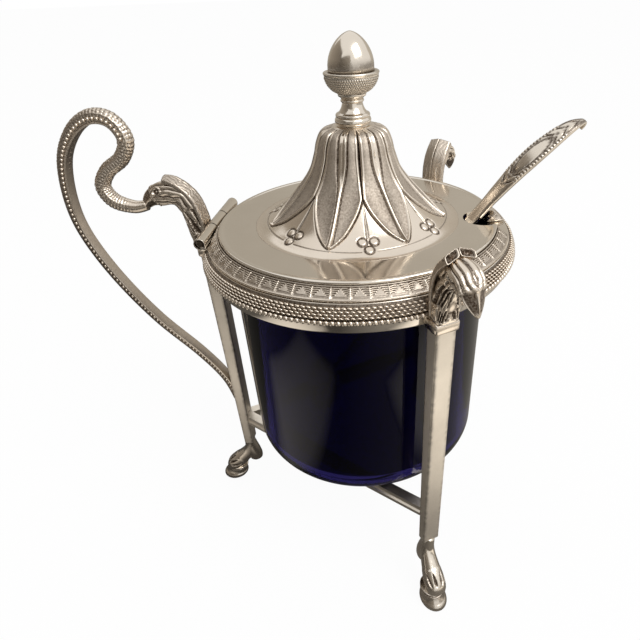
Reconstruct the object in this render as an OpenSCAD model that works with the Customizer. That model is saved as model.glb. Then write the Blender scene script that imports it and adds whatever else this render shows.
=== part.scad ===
// Mustard pot: a tripod stand with a gallery ring, a hinged lid, a glass liner and a spoon.
// Millimetres, +Z up. The origin is on the pot's axis at table level and the handle points to -X.

/* [Liner] */
// Outside radius of the glass liner
liner_r = 31.2; // [29:0.1:33]
// Height of the glass liner
liner_h = 62; // [55:0.5:70]
// Wall of the glass liner
liner_wall = 2.2; // [1.6:0.1:3]
// Thickness of the liner's floor
liner_floor = 3; // [2:0.1:5]
// Outside rounding at the foot of the liner
liner_corner_r = 7; // [4:0.5:9]

/* [Legs and stretchers] */
// Tangential width of a leg
leg_w = 4.6; // [4:0.1:5.2]
// Radial depth of a leg at its top
leg_top_d = 3.8; // [3.4:0.1:4.4]
// Radial depth of a leg at its foot
leg_foot_d = 2.7; // [2.4:0.1:3.2]
// Height of the lower end of a leg's shaft
ankle_z = 17.3; // [15.5:0.1:19]
// Height of the face that the liner stands on
seat_z = 29; // [28:0.5:33]
// Height of a stretcher bar
stretcher_h = 3.3; // [3:0.1:5]
// Width of a stretcher bar
stretcher_w = 2.6; // [2:0.1:3]
// Depth of the groove along a stretcher bar
stretcher_groove = 0.5; // [0.3:0.1:0.7]

/* [Gallery ring] */
// Height of the gallery ring
ring_h = 7.9; // [7.5:0.1:9]
// Width of the ring's plain lower lip
ring_lip_w = 2.4; // [2.1:0.1:3]
// Width of the ring up to the face that the braid is soldered to
ring_band_w = 4.5; // [4.2:0.1:4.8]
// Web left between a collar's socket and the face that the braid is soldered to
socket_web = 0.1; // [0.1:0.05:0.3]
// Height of the braid
braid_h = 3; // [2.5:0.1:3.2]
// Thickness of the braid at its lower row
braid_t = 1.5; // [1.2:0.1:1.7]
// Radius of the beads below the braid
bead_r = 0.65; // [0.5:0.05:0.75]

/* [Griffin heads] */
// Height of the collar block under a head
collar_h = 2.5; // [2:0.1:3]
// Tangential width of the collar block
collar_w = 5.6; // [5.4:0.1:6]
// Radial depth of the collar block
collar_d = 4.6; // [4.4:0.1:4.8]
// Tangential width of the neck above the collar
neck_w = 5; // [4.4:0.1:5.2]
// Height of the collar's underside above the ring's underside
collar_step = 1; // [0.6:0.1:1.4]
// Extra height of the head that holds the handle
handle_head_rise = 1.2; // [0.8:0.1:2]

/* [Hoof feet] */
// Radius of a hoof at its widest
hoof_r = 3.6; // [3.3:0.1:4.2]
// Radius of a hoof's flat sole
hoof_sole_r = 2.7; // [2.4:0.1:3]
// Height of the hoof's wall
hoof_h = 4; // [3.5:0.1:4.5]
// Distance of a hoof's centre outward from the leg's axis
hoof_reach = 8.2; // [7.7:0.1:9]
// Sideways lean of the front foot, in degrees
front_foot_lean = 8; // [0:0.5:9]

/* [Handle] */
// Half thickness of the serpent's round neck
serpent_r = 1.9; // [1.6:0.1:2.1]
// Half thickness of the strap below
strap_half_t = 1.2; // [1:0.05:1.4]
// Half width of the strap
strap_half_w = 0.8; // [0.7:0.05:1]
// Radius of the beaded wires along the strap
strap_bead_r = 0.4; // [0.35:0.05:0.5]

/* [Lid] */
// Lap of the lid's plate over the ring
lid_lap = 1.5; // [1.3:0.1:1.8]
// Thickness of the lid's plate
lid_t = 1.2; // [1:0.1:1.5]
// Width of the palmette rim outside the plate
rim_w = 2.9; // [2.5:0.1:3.2]
// Height of the palmette rim
rim_h = 1.65; // [1.5:0.05:2]
// Width of the plain plate outside the dome
plate_w = 11.5; // [10.5:0.5:12.5]
// Height of the dome above the plate
dome_h = 21.1; // [19:0.5:24]
// Radius of the dome's flat top
dome_top_r = 4.3; // [4:0.1:5]
// Width of the flange that the dome stands on
dome_flange_w = 3; // [2.4:0.1:3.4]
// Width of the rim's seat under the plate
rim_seat_w = 1.2; // [1:0.1:1.5]
// Wall of the dome
dome_wall = 1.1; // [0.9:0.1:1.3]
// Radius of the spoon opening
notch_r = 4.5; // [4.4:0.1:4.7]
// Distance of the spoon opening's middle inward from the edge of the plate
notch_in = 3.3; // [3:0.1:3.6]
// Width of the spoon opening's mouth at the rim
notch_mouth_w = 8.4; // [8:0.1:8.6]
// Angle of the spoon opening, turned from the side opposite the handle
notch_az = -1.5; // [-3:0.5:0]

/* [Hinge] */
// Outside radius of the hinge's knuckles
knuckle_r = 1.35; // [1.2:0.05:1.4]
// Radius of the hinge's pin
pin_r = 0.7; // [0.5:0.05:0.8]
// Distance of the hinge's axis outward from the edge of the lid's plate
hinge_out = 2; // [1.9:0.1:2.2]
// Length of the whole barrel
barrel_len = 27; // [24:0.5:28]
// Length of the lid's own knuckle
lid_knuckle_len = 7.8; // [7:0.1:9]
// Length of the lid's leaf inward from the hinge's axis
hinge_leaf_len = 8; // [6:0.5:9]
// Thickness of the lid's leaf
hinge_leaf_t = 0.8; // [0.6:0.1:1]

/* [Finial] */
// Height of the turned stem
stem_h = 6.4; // [5.5:0.1:7.5]
// Radius of the stem's knop
knop_r = 4; // [3.6:0.1:4.4]
// Radius of the stem's neck
stem_neck_r = 2.35; // [2.1:0.05:2.6]
// Height of the acorn's cup
cup_h = 4.4; // [3.9:0.1:4.8]
// Radius of the cup's rim
cup_r = 5.8; // [5.5:0.1:6.2]
// Radius of the acorn
acorn_r = 4.85; // [4.5:0.05:5.1]
// Height of the acorn above the cup's rim
acorn_h = 7.1; // [6.5:0.1:8.5]
// Radius of the stud through the finial
stud_r = 1; // [0.8:0.05:1.2]
// Thickness of the nut under the dome
nut_t = 1.8; // [1.4:0.1:2.4]
// Half width of the nut under the dome, across its flats
nut_half = 1.9; // [1.7:0.1:2]

/* [Spoon] */
// Angle of the stem above level
spoon_lean = 53; // [51:1:55]
// Turn of the spoon about its stem
spoon_turn = 38; // [30:1:45]
// Radius of the sphere that the bowl is part of
bowl_sphere_r = 9; // [8.5:0.1:9.5]
// Depth of the bowl
bowl_depth = 4.5; // [4:0.1:5]
// Wall of the bowl
bowl_wall = 0.9; // [0.7:0.1:1.1]
// Half thickness of the stem
stem_half_t = 0.7; // [0.6:0.05:0.8]
// Half width of the stem where it passes the lid
stem_half_w = 1.5; // [1.3:0.1:1.7]
// Half width of the ornamented end
spoon_end_half_w = 2.4; // [2.2:0.1:2.6]
// Distance of the stem sideways from the middle of its opening
spoon_side = 1.1; // [0.6:0.1:1.2]

/* [Fits] */
// Gap under the liner and beside it in the ring
liner_gap = 0.3; // [0.2:0.05:0.4]
// Gap between the stretchers and the liner that stands on them
seat_gap = 0.05; // [0.02:0.01:0.1]
// Gap between the lid's rim and the ring
lid_gap = 0.15; // [0.1:0.05:0.3]
// Radial play of the hinge's pin
pin_play = 0.04; // [0.02:0.01:0.08]
// End play between the hinge's knuckles
knuckle_gap = 0.2; // [0.1:0.05:0.3]
// Radial play of the finial's stud
stud_play = 0.05; // [0.03:0.01:0.1]
// Gap between the handle's strap and the beaded wires soldered beside it
strap_bead_gap = 0.02; // [0.01:0.01:0.05]
// Gap between the spoon's stem and the inner end of its opening
notch_gap = 0.9; // [0.8:0.05:1]
// Gap between the spoon and the liner's floor
spoon_gap = 0.3; // [0.2:0.05:0.5]

/* [Hidden] */
$fn = 64;
SILVER = [0.80, 0.78, 0.74];
DARK_SILVER = [0.62, 0.60, 0.56];
COBALT = [0.05, 0.05, 0.30];
HANDLE_AZ = 180;
FRONT_AZ = -60;
BACK_AZ = 60;
LEGS = [HANDLE_AZ, FRONT_AZ, BACK_AZ];
BIG = 200;
EDGE = 0.4;
CUT = 1;
BEAD_SEAT = 0.5;
HINGE_DROP = 0.05;
HINGE_CLEAR = 0.7;
KNOP_ROUND = 0.9;
KNOP_MID = 1.9;
STEM_FLARE = 0.6;
CUP_LIP = 0.6;
CUP_ROUND = 0.9;
ACORN_SEAT = 1;
ACORN_BELLY = 0.13;
ACORN_POINT = 1.15;
STUD_TAIL = 0.6;
SPOON_LAP = 0.6;
HOOF_TAPER = 0.8;

// Radii, from the liner out
ring_r = liner_r + liner_gap;
ring_lip_r = ring_r + ring_lip_w;
ring_band_r = ring_r + ring_band_w;
bead_at = ring_band_r + BEAD_SEAT + bead_r;
socket_r = ring_band_r + socket_web;
leg_r = socket_r + collar_d / 2;
lid_r = ring_r + lid_lap;
rim_r = lid_r + rim_w;
dome_foot_r = lid_r - plate_w;
notch_at = lid_r - notch_in;
hinge_cut_w = barrel_len + 2 * HINGE_CLEAR;

// Heights, from the table up
liner_z = seat_z + seat_gap;
liner_top = liner_z + liner_h;
ring_z1 = liner_top + liner_gap;
ring_z0 = ring_z1 - ring_h;
bead_z = ring_z1 - braid_h - bead_r;
collar_z0 = ring_z0 + collar_step;
collar_z1 = collar_z0 + collar_h;
rim_z = ring_z1 + lid_gap;
lid_z0 = rim_z + rim_h;
lid_top = lid_z0 + lid_t;
dome_top = lid_top + dome_h;
stem_top = dome_top + stem_h;
cup_top = stem_top + cup_h;
acorn_top = cup_top + acorn_h;
acorn_z0 = cup_top - ACORN_SEAT;
stud_top = cup_top + 2 * ACORN_SEAT;
nut_z = dome_top - dome_wall - nut_t;
hinge_x = -lid_r - hinge_out;
hinge_z = lid_top - knuckle_r - HINGE_DROP;
bore_r = pin_r + pin_play;
stud_bore_r = stud_r + stud_play;

// Points on an arc from angle a0 to angle a1
function arc(c, r, a0, a1, n = 6) =
    [for (i = [0:n]) c + r * [cos(a0 + (a1 - a0) * i / n), sin(a0 + (a1 - a0) * i / n)]];

// A smooth curve through the points p, which may have any number of components
function blend4(a, b, c, d, t) = 0.5 * (2 * b + (c - a) * t + (2 * a - 5 * b + 4 * c - d) * t * t
    + (3 * b - a - 3 * c + d) * t * t * t);
function curve(p, steps) = let (last = len(p) - 1) concat(
    [for (i = [0:last - 1]) for (k = [0:steps - 1])
        blend4(p[max(i - 1, 0)], p[i], p[i + 1], p[min(i + 2, last)], k / steps)],
    [p[last]]);

// Stations [r, z, half thickness, half width] in the plane y = 0 become rings of n points
function unit(v) = v / norm(v);
function along(s, k) = let (d = s[min(k + 1, len(s) - 1)] - s[max(k - 1, 0)]) unit([d[0], 0, d[1]]);
function across(t) = [t[2], 0, -t[0]];
function rings(s, n) = [for (k = [0:len(s) - 1]) let (u = across(along(s, k)))
    [for (i = [0:n - 1]) [s[k][0], 0, s[k][1]] + s[k][2] * cos(360 * i / n) * u
        + [0, s[k][3] * sin(360 * i / n), 0]]];

// A closed skin over rings that all have the same number of points
module skin(r) {
    n = len(r[0]);
    last = len(r) - 1;
    sides = [for (k = [0:last - 1]) for (i = [0:n - 1]) let (j = (i + 1) % n)
        each [[k * n + i, k * n + n + i, k * n + n + j], [k * n + i, k * n + n + j, k * n + j]]];
    foot = [[for (i = [0:n - 1]) i]];
    head = [[for (i = [n - 1:-1:0]) last * n + i]];
    polyhedron([for (q = r) each q], concat(sides, foot, head));
}

// A block that reaches from radius r0 to r1 at angle az
module block(az, r0, r1, w, z0, z1) {
    rotate([0, 0, az]) translate([r0, -w / 2, z0]) cube([r1 - r0, w, z1 - z0]);
}

// The sockets in the ring that the three collars are soldered into
module sockets() {
    for (az = LEGS) block(az, socket_r, BIG, collar_w, ring_z0 - CUT, BIG);
}

// Gallery ring and its trim
module gallery_ring() color(SILVER) difference() {
    rotate_extrude($fn = 128) polygon(concat(
        [[ring_r, ring_z0], [ring_lip_r, ring_z0]],
        arc([ring_lip_r, bead_z - bead_r], bead_z - bead_r - ring_z0 - EDGE, -90, -40),
        [[ring_band_r + BEAD_SEAT, bead_z - bead_r], [ring_band_r + BEAD_SEAT, bead_z + bead_r],
         [ring_band_r, bead_z + bead_r], [ring_band_r, ring_z1], [ring_r, ring_z1]]));
    sockets();
}

module braid_band() color(SILVER) difference() {
    rotate_extrude($fn = 128) polygon([
        [ring_band_r, bead_z + bead_r], [ring_band_r + braid_t, bead_z + bead_r],
        [ring_band_r + braid_t, bead_z + bead_r + EDGE], [ring_band_r + EDGE, ring_z1],
        [ring_band_r, ring_z1]]);
    sockets();
}

module bead_wire() color(SILVER) difference() {
    rotate_extrude($fn = 128) translate([bead_at, bead_z]) circle(bead_r, $fn = 32);
    sockets();
}

// Legs and stretchers
module leg_prism(az) {
    rotate([0, 0, az]) rotate([90, 0, 0]) linear_extrude(leg_w, center = true) polygon([
        [leg_r - leg_top_d / 2, collar_z0], [leg_r + leg_top_d / 2, collar_z0],
        [leg_r + leg_foot_d / 2, ankle_z], [leg_r - leg_foot_d / 2, ankle_z]]);
}

module leg_shaft(az) color(SILVER) leg_prism(az);

// A grooved bar between the leg at angle az and the next one, mitred against its neighbours
module stretcher(az) {
    z0 = seat_z - stretcher_h;
    half = stretcher_w / 2;
    chord = leg_r * cos(60);
    color(SILVER) difference() {
        intersection() {
            rotate([0, 0, az + 60]) translate([chord, 0, 0]) rotate([90, 0, 0])
                linear_extrude(BIG, center = true) polygon([
                    [-half, z0], [half, z0], [half, z0 + stretcher_h * 0.3],
                    [half - stretcher_groove, z0 + stretcher_h * 0.4],
                    [half - stretcher_groove, z0 + stretcher_h * 0.6],
                    [half, z0 + stretcher_h * 0.7], [half, seat_z], [-half, seat_z]]);
            linear_extrude(BIG) polygon([[0, 0], BIG * [cos(az), sin(az)],
                BIG * [cos(az + 60), sin(az + 60)], BIG * [cos(az + 120), sin(az + 120)]]);
            cylinder(r = leg_r, h = BIG);
        }
        leg_prism(az);
        leg_prism(az + 120);
    }
}

// Griffin heads: a collar block, a neck that bends outward, a beak and a flat mane strip
head_line = [[0.7, 2, 2.5, 2.5], [1, 6, 2.6, 2.4], [1.8, 9.2, 2.7, 2.4], [3.8, 11.6, 2.8, 2.4],
    [6.2, 11.6, 2.6, 2.4], [8, 10.3, 2.2, 2.1], [9.2, 8.4, 1.4, 1.5], [10.8, 6, 0.5, 0.6]];
held_head_line = [[1.2, 2, 2.7, 2.5], [1.5, 6, 2.8, 2.4], [2.3, 9, 2.8, 2.4], [4.2, 11.6, 2.8, 2.4],
    [6.8, 12.4, 2.8, 2.4], [9.2, 12, 2.7, 2.3], [11.2, 11.3, 2.3, 2], [12.6, 10.4, 1.8, 1.7],
    [13.3, 9.4, 1.2, 1.3]];
mane_line = [[-1.2, 4, 0.5, 2.5], [-0.9, 7, 0.5, 2.7], [0, 10.2, 0.7, 2.7], [1.8, 12.9, 0.8, 2.7],
    [4.2, 14.9, 0.9, 2.6]];
held_mane_line = concat(mane_line, [[6.1, 15.8, 0.7, 2], [7.4, 15.9, 0.6, 1.8]]);
HEAD_SIDES = 14;
HEAD_STEPS = 3;

// The head's points sit on the collar, and those above the neck go up by rise
function seated(p, rise) = [for (q = p)
    [leg_r + q[0], collar_z1 + q[1] + rise * min(1, max(0, (q[1] - 4) / 6)), q[2], q[3]]];

module head_solid(az, line, mane, rise) {
    rotate([0, 0, az]) {
        skin(rings(curve(seated(line, rise), HEAD_STEPS), HEAD_SIDES));
        skin(rings(curve(seated(mane, rise), HEAD_STEPS), HEAD_SIDES));
    }
    block(az, socket_r, leg_r + collar_d / 2, collar_w, collar_z0, collar_z1);
    block(az, socket_r, leg_r + collar_d / 2, neck_w, collar_z1, ring_z1 - EDGE);
}

module eagle_head(az) color(SILVER) head_solid(az, head_line, mane_line, 0);

module eagle_head_handle() color(SILVER) difference() {
    head_solid(HANDLE_AZ, held_head_line, held_mane_line, handle_head_rise);
    handle_solid(BITE_POINTS);
}

// Hoof feet: a slim pastern, a heel spur and a round hoof with a flat sole
foot_line = [[0, 0.5, 1.3, 1.8], [0.2, -2.4, 1.5, 1.8], [1.3, -5.4, 2, 2], [3.8, -8.4, 2.3, 2.4],
    [7, -11, 2.7, 2.9], [9.6, -12.8, 2.7, 2.9], [11.4, -13.8, 1.9, 2.2]];
FOOT_LINE_REACH = 8.2;
spur_line = [[0, -1.5, 1.2, 1.5], [-0.6, -4.5, 1.7, 1.6], [-1.2, -7.3, 1.6, 1.5], [-1.2, -9.2, 1, 1.1],
    [-1.1, -10, 0.4, 0.5]];
FOOT_SIDES = 14;

function standing(line) = [for (q = line)
    [leg_r + q[0] * hoof_reach / FOOT_LINE_REACH, ankle_z + q[1], q[2], q[3]]];

module hoof_foot(az, lean = 0) color(SILVER) rotate([0, 0, az]) intersection() {
    union() {
        translate([0, 0, ankle_z]) rotate([-lean, 0, 0]) translate([0, 0, -ankle_z])
            for (line = [foot_line, spur_line]) skin(rings(curve(standing(line), HEAD_STEPS), FOOT_SIDES));
        translate([leg_r + hoof_reach, -ankle_z * sin(lean), 0]) rotate_extrude() polygon([
            [0, 0], [hoof_sole_r, 0], [hoof_r - EDGE, hoof_h * 0.16], [hoof_r, hoof_h * 0.4],
            [hoof_r - EDGE / 2, hoof_h * 0.7], [hoof_r - HOOF_TAPER, hoof_h], [0, hoof_h]]);
    }
    translate([0, -BIG / 2, 0]) cube([BIG, BIG, ankle_z]);
}

// Handle: a serpent whose tail is a strap, from the beak outward, over its curl and down to the leg
handle_line = [[13.4, 6], [17, 5.6], [21.6, 7.2], [23.4, 10.8], [21, 14.6], [16.6, 17.6], [14.4, 22],
    [16.8, 26.2], [21.5, 26.9], [26.7, 23.8], [31.2, 17.2], [33.2, 7.2], [32.2, -2.4], [27.2, -14.6],
    [19.3, -27.3], [9.4, -39], [3.5, -48], [1, -56.4]];
BITE_POINTS = 3;
CURL_END = 6;
STRAP_START = 12;
HANDLE_SIDES = 12;
HANDLE_STEPS = 5;

// Share of the way from the serpent's round body to the flat strap at point i
function strap_share(i) = min(1, max(0, (i - CURL_END) / (STRAP_START - CURL_END)));
function mix(a, b, t) = a + (b - a) * t;
handle_stations = [for (i = [0:len(handle_line) - 1]) let (t = strap_share(i), neck = i == 0 ? 0.7 : 1) [
    leg_r + handle_line[i][0], ring_z1 + handle_line[i][1],
    neck * mix(serpent_r, strap_half_t, t), neck * mix(serpent_r, strap_half_w, t)]];

module handle_solid(points = len(handle_stations)) {
    line = [for (i = [0:points - 1]) handle_stations[i]];
    rotate([0, 0, HANDLE_AZ]) skin(rings(curve(line, HANDLE_STEPS), HANDLE_SIDES));
}

module handle() color(SILVER) difference() {
    handle_solid();
    leg_prism(HANDLE_AZ);
}

// The wire runs beside the strap from the curl to the leg
module handle_bead(side) {
    line = curve([for (i = [CURL_END:len(handle_stations) - 1]) handle_stations[i]], HANDLE_STEPS);
    tube = [for (k = [0:len(line) - 1]) let (u = across(along(line, k)), s = line[k],
            y = side * (s[3] + strap_bead_r + strap_bead_gap))
        [for (i = [0:7]) [s[0], y, s[1]] + s[2] * 0.2 * u
            + strap_bead_r * (cos(45 * i) * u + [0, sin(45 * i), 0])]];
    color(SILVER) difference() {
        rotate([0, 0, HANDLE_AZ]) skin(tube);
        leg_prism(HANDLE_AZ);
    }
}

// Hinge
module barrel_piece(y0, y1, r) {
    translate([hinge_x, y1, hinge_z]) rotate([90, 0, 0]) cylinder(r = r, h = y1 - y0);
}

module hinge_frame_leaf() color(SILVER) difference() {
    for (side = [-1, 1]) {
        y0 = side < 0 ? -barrel_len / 2 : lid_knuckle_len / 2 + knuckle_gap;
        y1 = side < 0 ? -lid_knuckle_len / 2 - knuckle_gap : barrel_len / 2;
        barrel_piece(y0, y1, knuckle_r);
        translate([hinge_x, y0, ring_z1]) cube([knuckle_r, y1 - y0, hinge_z - ring_z1]);
    }
    barrel_piece(-barrel_len, barrel_len, bore_r);
}

module hinge_pin() color(DARK_SILVER) barrel_piece(EDGE - barrel_len / 2, barrel_len / 2 - EDGE, pin_r);

module hinge_lid_leaf() color(SILVER) difference() {
    half = lid_knuckle_len / 2;
    union() {
        barrel_piece(-half, half, knuckle_r);
        translate([hinge_x, -half, lid_z0 - hinge_leaf_t])
            cube([hinge_leaf_len, lid_knuckle_len, hinge_leaf_t]);
    }
    barrel_piece(-barrel_len, barrel_len, bore_r);
}

// Lid
module spoon_opening() {
    rotate([0, 0, notch_az]) {
        translate([notch_at, 0, ring_z1]) cylinder(r = notch_r, h = BIG);
        translate([notch_at, -notch_mouth_w / 2, ring_z1]) cube([BIG, notch_mouth_w, BIG]);
    }
}

// Room in the rim for the barrel's fixed knuckles and for the lid's leaf
module hinge_gap() {
    translate([-BIG, -hinge_cut_w / 2, 0])
        cube([BIG + hinge_x + knuckle_r + HINGE_CLEAR / 2, hinge_cut_w, BIG]);
    translate([hinge_x, -lid_knuckle_len / 2, lid_z0 - hinge_leaf_t])
        cube([hinge_leaf_len, lid_knuckle_len, BIG]);
}

module lid_plate() color(SILVER) difference() {
    rotate_extrude($fn = 128) polygon([
        [dome_foot_r - dome_flange_w, lid_z0], [lid_r - EDGE, lid_z0], [lid_r, lid_z0 + EDGE],
        [lid_r, lid_top],
        [lid_r - 2 * EDGE, lid_top], [lid_r - 3 * EDGE, dome_base],
        [dome_foot_r - dome_flange_w, dome_base]]);
    spoon_opening();
}

module lid_rim_band() color(SILVER) difference() {
    rotate_extrude($fn = 128) polygon([
        [lid_r - rim_seat_w, rim_z], [rim_r, rim_z], [rim_r, rim_z + EDGE], [lid_r + EDGE, lid_z0],
        [lid_r - rim_seat_w, lid_z0]]);
    spoon_opening();
    hinge_gap();
}

// The bell of the dome, as radius and height above the plate, from the foot to the shoulder
dome_line = [[0, 0.3], [-3.2, 2.4], [-6.6, 5.5], [-9.4, 8.6], [-11.2, 11], [-12.4, 13.2], [-13.2, 15.3],
    [-13.8, 17.8], [-14.8, 19.9]];
dome_base = lid_top - EDGE / 2;
DOME_LINE_W = 17.2;
DOME_LINE_H = 21.1;
dome_slope_w = dome_foot_r - dome_top_r;
dome_curve = curve(concat([for (q = dome_line)
    [dome_foot_r + q[0] * dome_slope_w / DOME_LINE_W, lid_top + q[1] * dome_h / DOME_LINE_H]],
    [[dome_top_r, dome_top]]), 3);

module leaf_dome() color(SILVER) difference() {
    n = len(dome_curve);
    inner = [for (k = [n - 1:-1:0]) let (d = dome_curve[min(k + 1, n - 1)] - dome_curve[max(k - 1, 0)],
        t = unit(d), q = dome_curve[k] + dome_wall * [-t[1], t[0]]) [max(q[0], stud_bore_r), q[1]]];
    rotate_extrude($fn = 128) polygon(concat(
        [[dome_foot_r - dome_flange_w + EDGE, dome_base], [dome_foot_r, dome_base]], dome_curve,
        [[stud_bore_r, dome_top], [stud_bore_r, dome_top - dome_wall],
         [dome_top_r - dome_wall, dome_top - dome_wall]],
        [for (q = inner) if (q[1] > lid_top && q[1] < dome_top - dome_wall) q]));
}

// Finial
module finial_stem() color(SILVER) difference() {
    rotate_extrude($fn = 96) polygon(concat(
        [[0, dome_top], [knop_r - EDGE, dome_top]],
        arc([knop_r - KNOP_ROUND, dome_top + KNOP_MID], KNOP_ROUND, -80, 80),
        [[stem_neck_r + STEM_FLARE, dome_top + stem_h * 0.58], [stem_neck_r, dome_top + stem_h * 0.75],
         [stem_neck_r + STEM_FLARE, stem_top - EDGE], [stem_neck_r + STEM_FLARE, stem_top], [0, stem_top]]));
    translate([0, 0, dome_top - CUT]) cylinder(r = stud_bore_r, h = stem_h + 2 * CUT);
}

module acorn_cup() color(DARK_SILVER) difference() {
    rotate_extrude($fn = 96) polygon(concat(
        [[0, stem_top], [stem_neck_r + STEM_FLARE, stem_top]],
        arc([cup_r - cup_h * CUP_ROUND, cup_top - CUP_LIP], cup_h * CUP_ROUND, -55, 0),
        [[cup_r, cup_top], [acorn_r, cup_top], [acorn_r, acorn_z0], [0, acorn_z0]]));
    translate([0, 0, stem_top - CUT]) cylinder(r = stud_bore_r, h = cup_h + 2 * CUT);
}

// The acorn, an egg that is drawn up to a point
module acorn_nut() color(SILVER) difference() {
    rotate_extrude($fn = 96) polygon(concat(
        [[0, acorn_z0], [acorn_r, acorn_z0]],
        [for (a = [0:7.5:82.5])
            [acorn_r * pow(cos(a), ACORN_POINT), cup_top + acorn_h * mix(ACORN_BELLY, 1, sin(a))]],
        [[0, acorn_top]]));
    translate([0, 0, acorn_z0 - CUT]) cylinder(r = stud_bore_r, h = stud_top + EDGE - acorn_z0 + CUT);
}

module finial_stud() color(DARK_SILVER) translate([0, 0, nut_z - STUD_TAIL])
    cylinder(r = stud_r, h = stud_top - nut_z + STUD_TAIL);

module finial_nut() color(DARK_SILVER) translate([0, 0, nut_z]) difference() {
    linear_extrude(nut_t) square(2 * nut_half, center = true);
    translate([0, 0, -CUT]) cylinder(r = stud_bore_r, h = nut_t + 2 * CUT);
}

// Glass liner
module glass_liner() color(COBALT) {
    inner_r = liner_r - liner_wall;
    inner_corner = max(1, liner_corner_r - liner_wall);
    rotate_extrude($fn = 128) polygon(concat(
        [[0, liner_z]],
        arc([liner_r - liner_corner_r, liner_z + liner_corner_r], liner_corner_r, -90, 0),
        arc([liner_r - liner_wall / 2, liner_top - liner_wall / 2], liner_wall / 2, 0, 180),
        arc([inner_r - inner_corner, liner_z + liner_floor + inner_corner], inner_corner, 0, -90),
        [[0, liner_z + liner_floor]]));
}

// Spoon, in its own frame: +Z up the stem, +X out of its face, origin where it passes the lid
bowl_c = bowl_sphere_r - bowl_depth;
bowl_inner_r = bowl_sphere_r - bowl_wall;
bowl_rim_r = sqrt(bowl_sphere_r * bowl_sphere_r - bowl_c * bowl_c);
spoon_half = norm([stem_half_t * cos(spoon_turn), stem_half_w * sin(spoon_turn)]) / sin(spoon_lean);
spoon_at = notch_at - notch_r + notch_gap + spoon_half + lid_t / tan(spoon_lean);
face_up = cos(spoon_lean) * cos(spoon_turn);
bowl_reach = (lid_top - liner_z - liner_floor - spoon_gap - bowl_rim_r * sqrt(1 - face_up * face_up))
    / sin(spoon_lean);
spoon_line = [[-7.7, 27.6, 0.4, -1.2], [-7.4, 28.6, 0.5, -1], [-6.4, 29.1, 0.5, -0.8], [-4, 26.4, 0.9, 0.1],
    [-2, 21.5, 1, 0.8], [-0.8, 17, 1, 1], [-0.2, 12.5, 1, 0.75], [0, 7, 1, 0.3], [0, 0, 1, 0]];

module spoon_frame() {
    rotate([0, 0, notch_az]) translate([spoon_at, spoon_side, lid_top]) rotate([0, 90 - spoon_lean, 0])
        rotate([0, 0, 180 + spoon_turn]) children();
}

module mustard_spoon() {
    end = -bowl_reach + bowl_rim_r - SPOON_LAP;
    stem = concat(
        [for (q = spoon_line) [q[0], q[1], stem_half_t * q[2], mix(stem_half_w, spoon_end_half_w, q[3])]],
        [[0, end * 0.5, stem_half_t, stem_half_w * 0.9], [0, end, stem_half_t, stem_half_w]]);
    color(SILVER) spoon_frame() {
        skin(rings(curve(stem, 4), 12));
        translate([0, 0, -bowl_reach]) rotate([0, 90, 0]) rotate_extrude() polygon(concat(
            arc([0, bowl_c], bowl_sphere_r, -90, -asin(bowl_c / bowl_sphere_r)),
            arc([0, bowl_c], bowl_inner_r, -asin(bowl_c / bowl_inner_r), -90)));
    }
}

gallery_ring();
braid_band();
bead_wire();
leg_shaft(HANDLE_AZ);  // leg_shaft_handle
leg_shaft(FRONT_AZ);  // leg_shaft_front
leg_shaft(BACK_AZ);  // leg_shaft_back
eagle_head_handle();
eagle_head(FRONT_AZ);  // eagle_head_front
eagle_head(BACK_AZ);  // eagle_head_back
hoof_foot(HANDLE_AZ);  // hoof_foot_handle
hoof_foot(FRONT_AZ, front_foot_lean);  // hoof_foot_front
hoof_foot(BACK_AZ);  // hoof_foot_back
stretcher(HANDLE_AZ);  // stretcher_near
stretcher(FRONT_AZ);  // stretcher_side
stretcher(BACK_AZ);  // stretcher_far
handle();
handle_bead(1);  // handle_bead_near
handle_bead(-1);  // handle_bead_far
hinge_frame_leaf();
hinge_pin();
hinge_lid_leaf();
lid_plate();
lid_rim_band();
leaf_dome();
finial_stem();
acorn_cup();
acorn_nut();
finial_stud();
finial_nut();
glass_liner();
mustard_spoon();
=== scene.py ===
import math

import bmesh
import bpy
import numpy as np
from mathutils import Matrix, Vector


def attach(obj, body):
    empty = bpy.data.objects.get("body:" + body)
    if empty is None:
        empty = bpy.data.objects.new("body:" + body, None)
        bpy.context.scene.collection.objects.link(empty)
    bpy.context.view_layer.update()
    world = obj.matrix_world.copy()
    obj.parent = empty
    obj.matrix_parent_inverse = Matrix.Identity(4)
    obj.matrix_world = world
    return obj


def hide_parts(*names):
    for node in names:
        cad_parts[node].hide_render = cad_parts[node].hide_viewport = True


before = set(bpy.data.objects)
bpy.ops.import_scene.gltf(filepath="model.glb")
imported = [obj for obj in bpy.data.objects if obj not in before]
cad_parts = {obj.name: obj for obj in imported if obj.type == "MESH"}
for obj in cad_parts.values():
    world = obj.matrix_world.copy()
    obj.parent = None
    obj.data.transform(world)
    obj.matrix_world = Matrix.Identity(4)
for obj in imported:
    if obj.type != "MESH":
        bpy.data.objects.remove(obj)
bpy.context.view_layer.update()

# Sizes in millimetres, the same as in the CAD model
MM = 0.001
TAU = 2 * math.pi
LEGS = {"handle": 180.0, "front": -60.0, "back": 60.0}
LINER_R, LINER_WALL, LINER_FLOOR, LINER_CORNER = 31.2, 2.2, 3.0, 7.0
LINER_Z0, LINER_Z1 = 29.05, 91.05
RING_R, LIP_R, BAND_R = 31.5, 33.9, 36.0
RING_Z0, RING_Z1 = 83.45, 91.35
BEAD_AT, BEAD_Z, BEAD_R = 37.15, 87.7, 0.65
SOCKET_R, LEG_R = 36.1, 38.4
LEG_HALF_W, LEG_TOP_HALF, LEG_FOOT_HALF, ANKLE_Z = 2.3, 1.9, 1.35, 17.3
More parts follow.
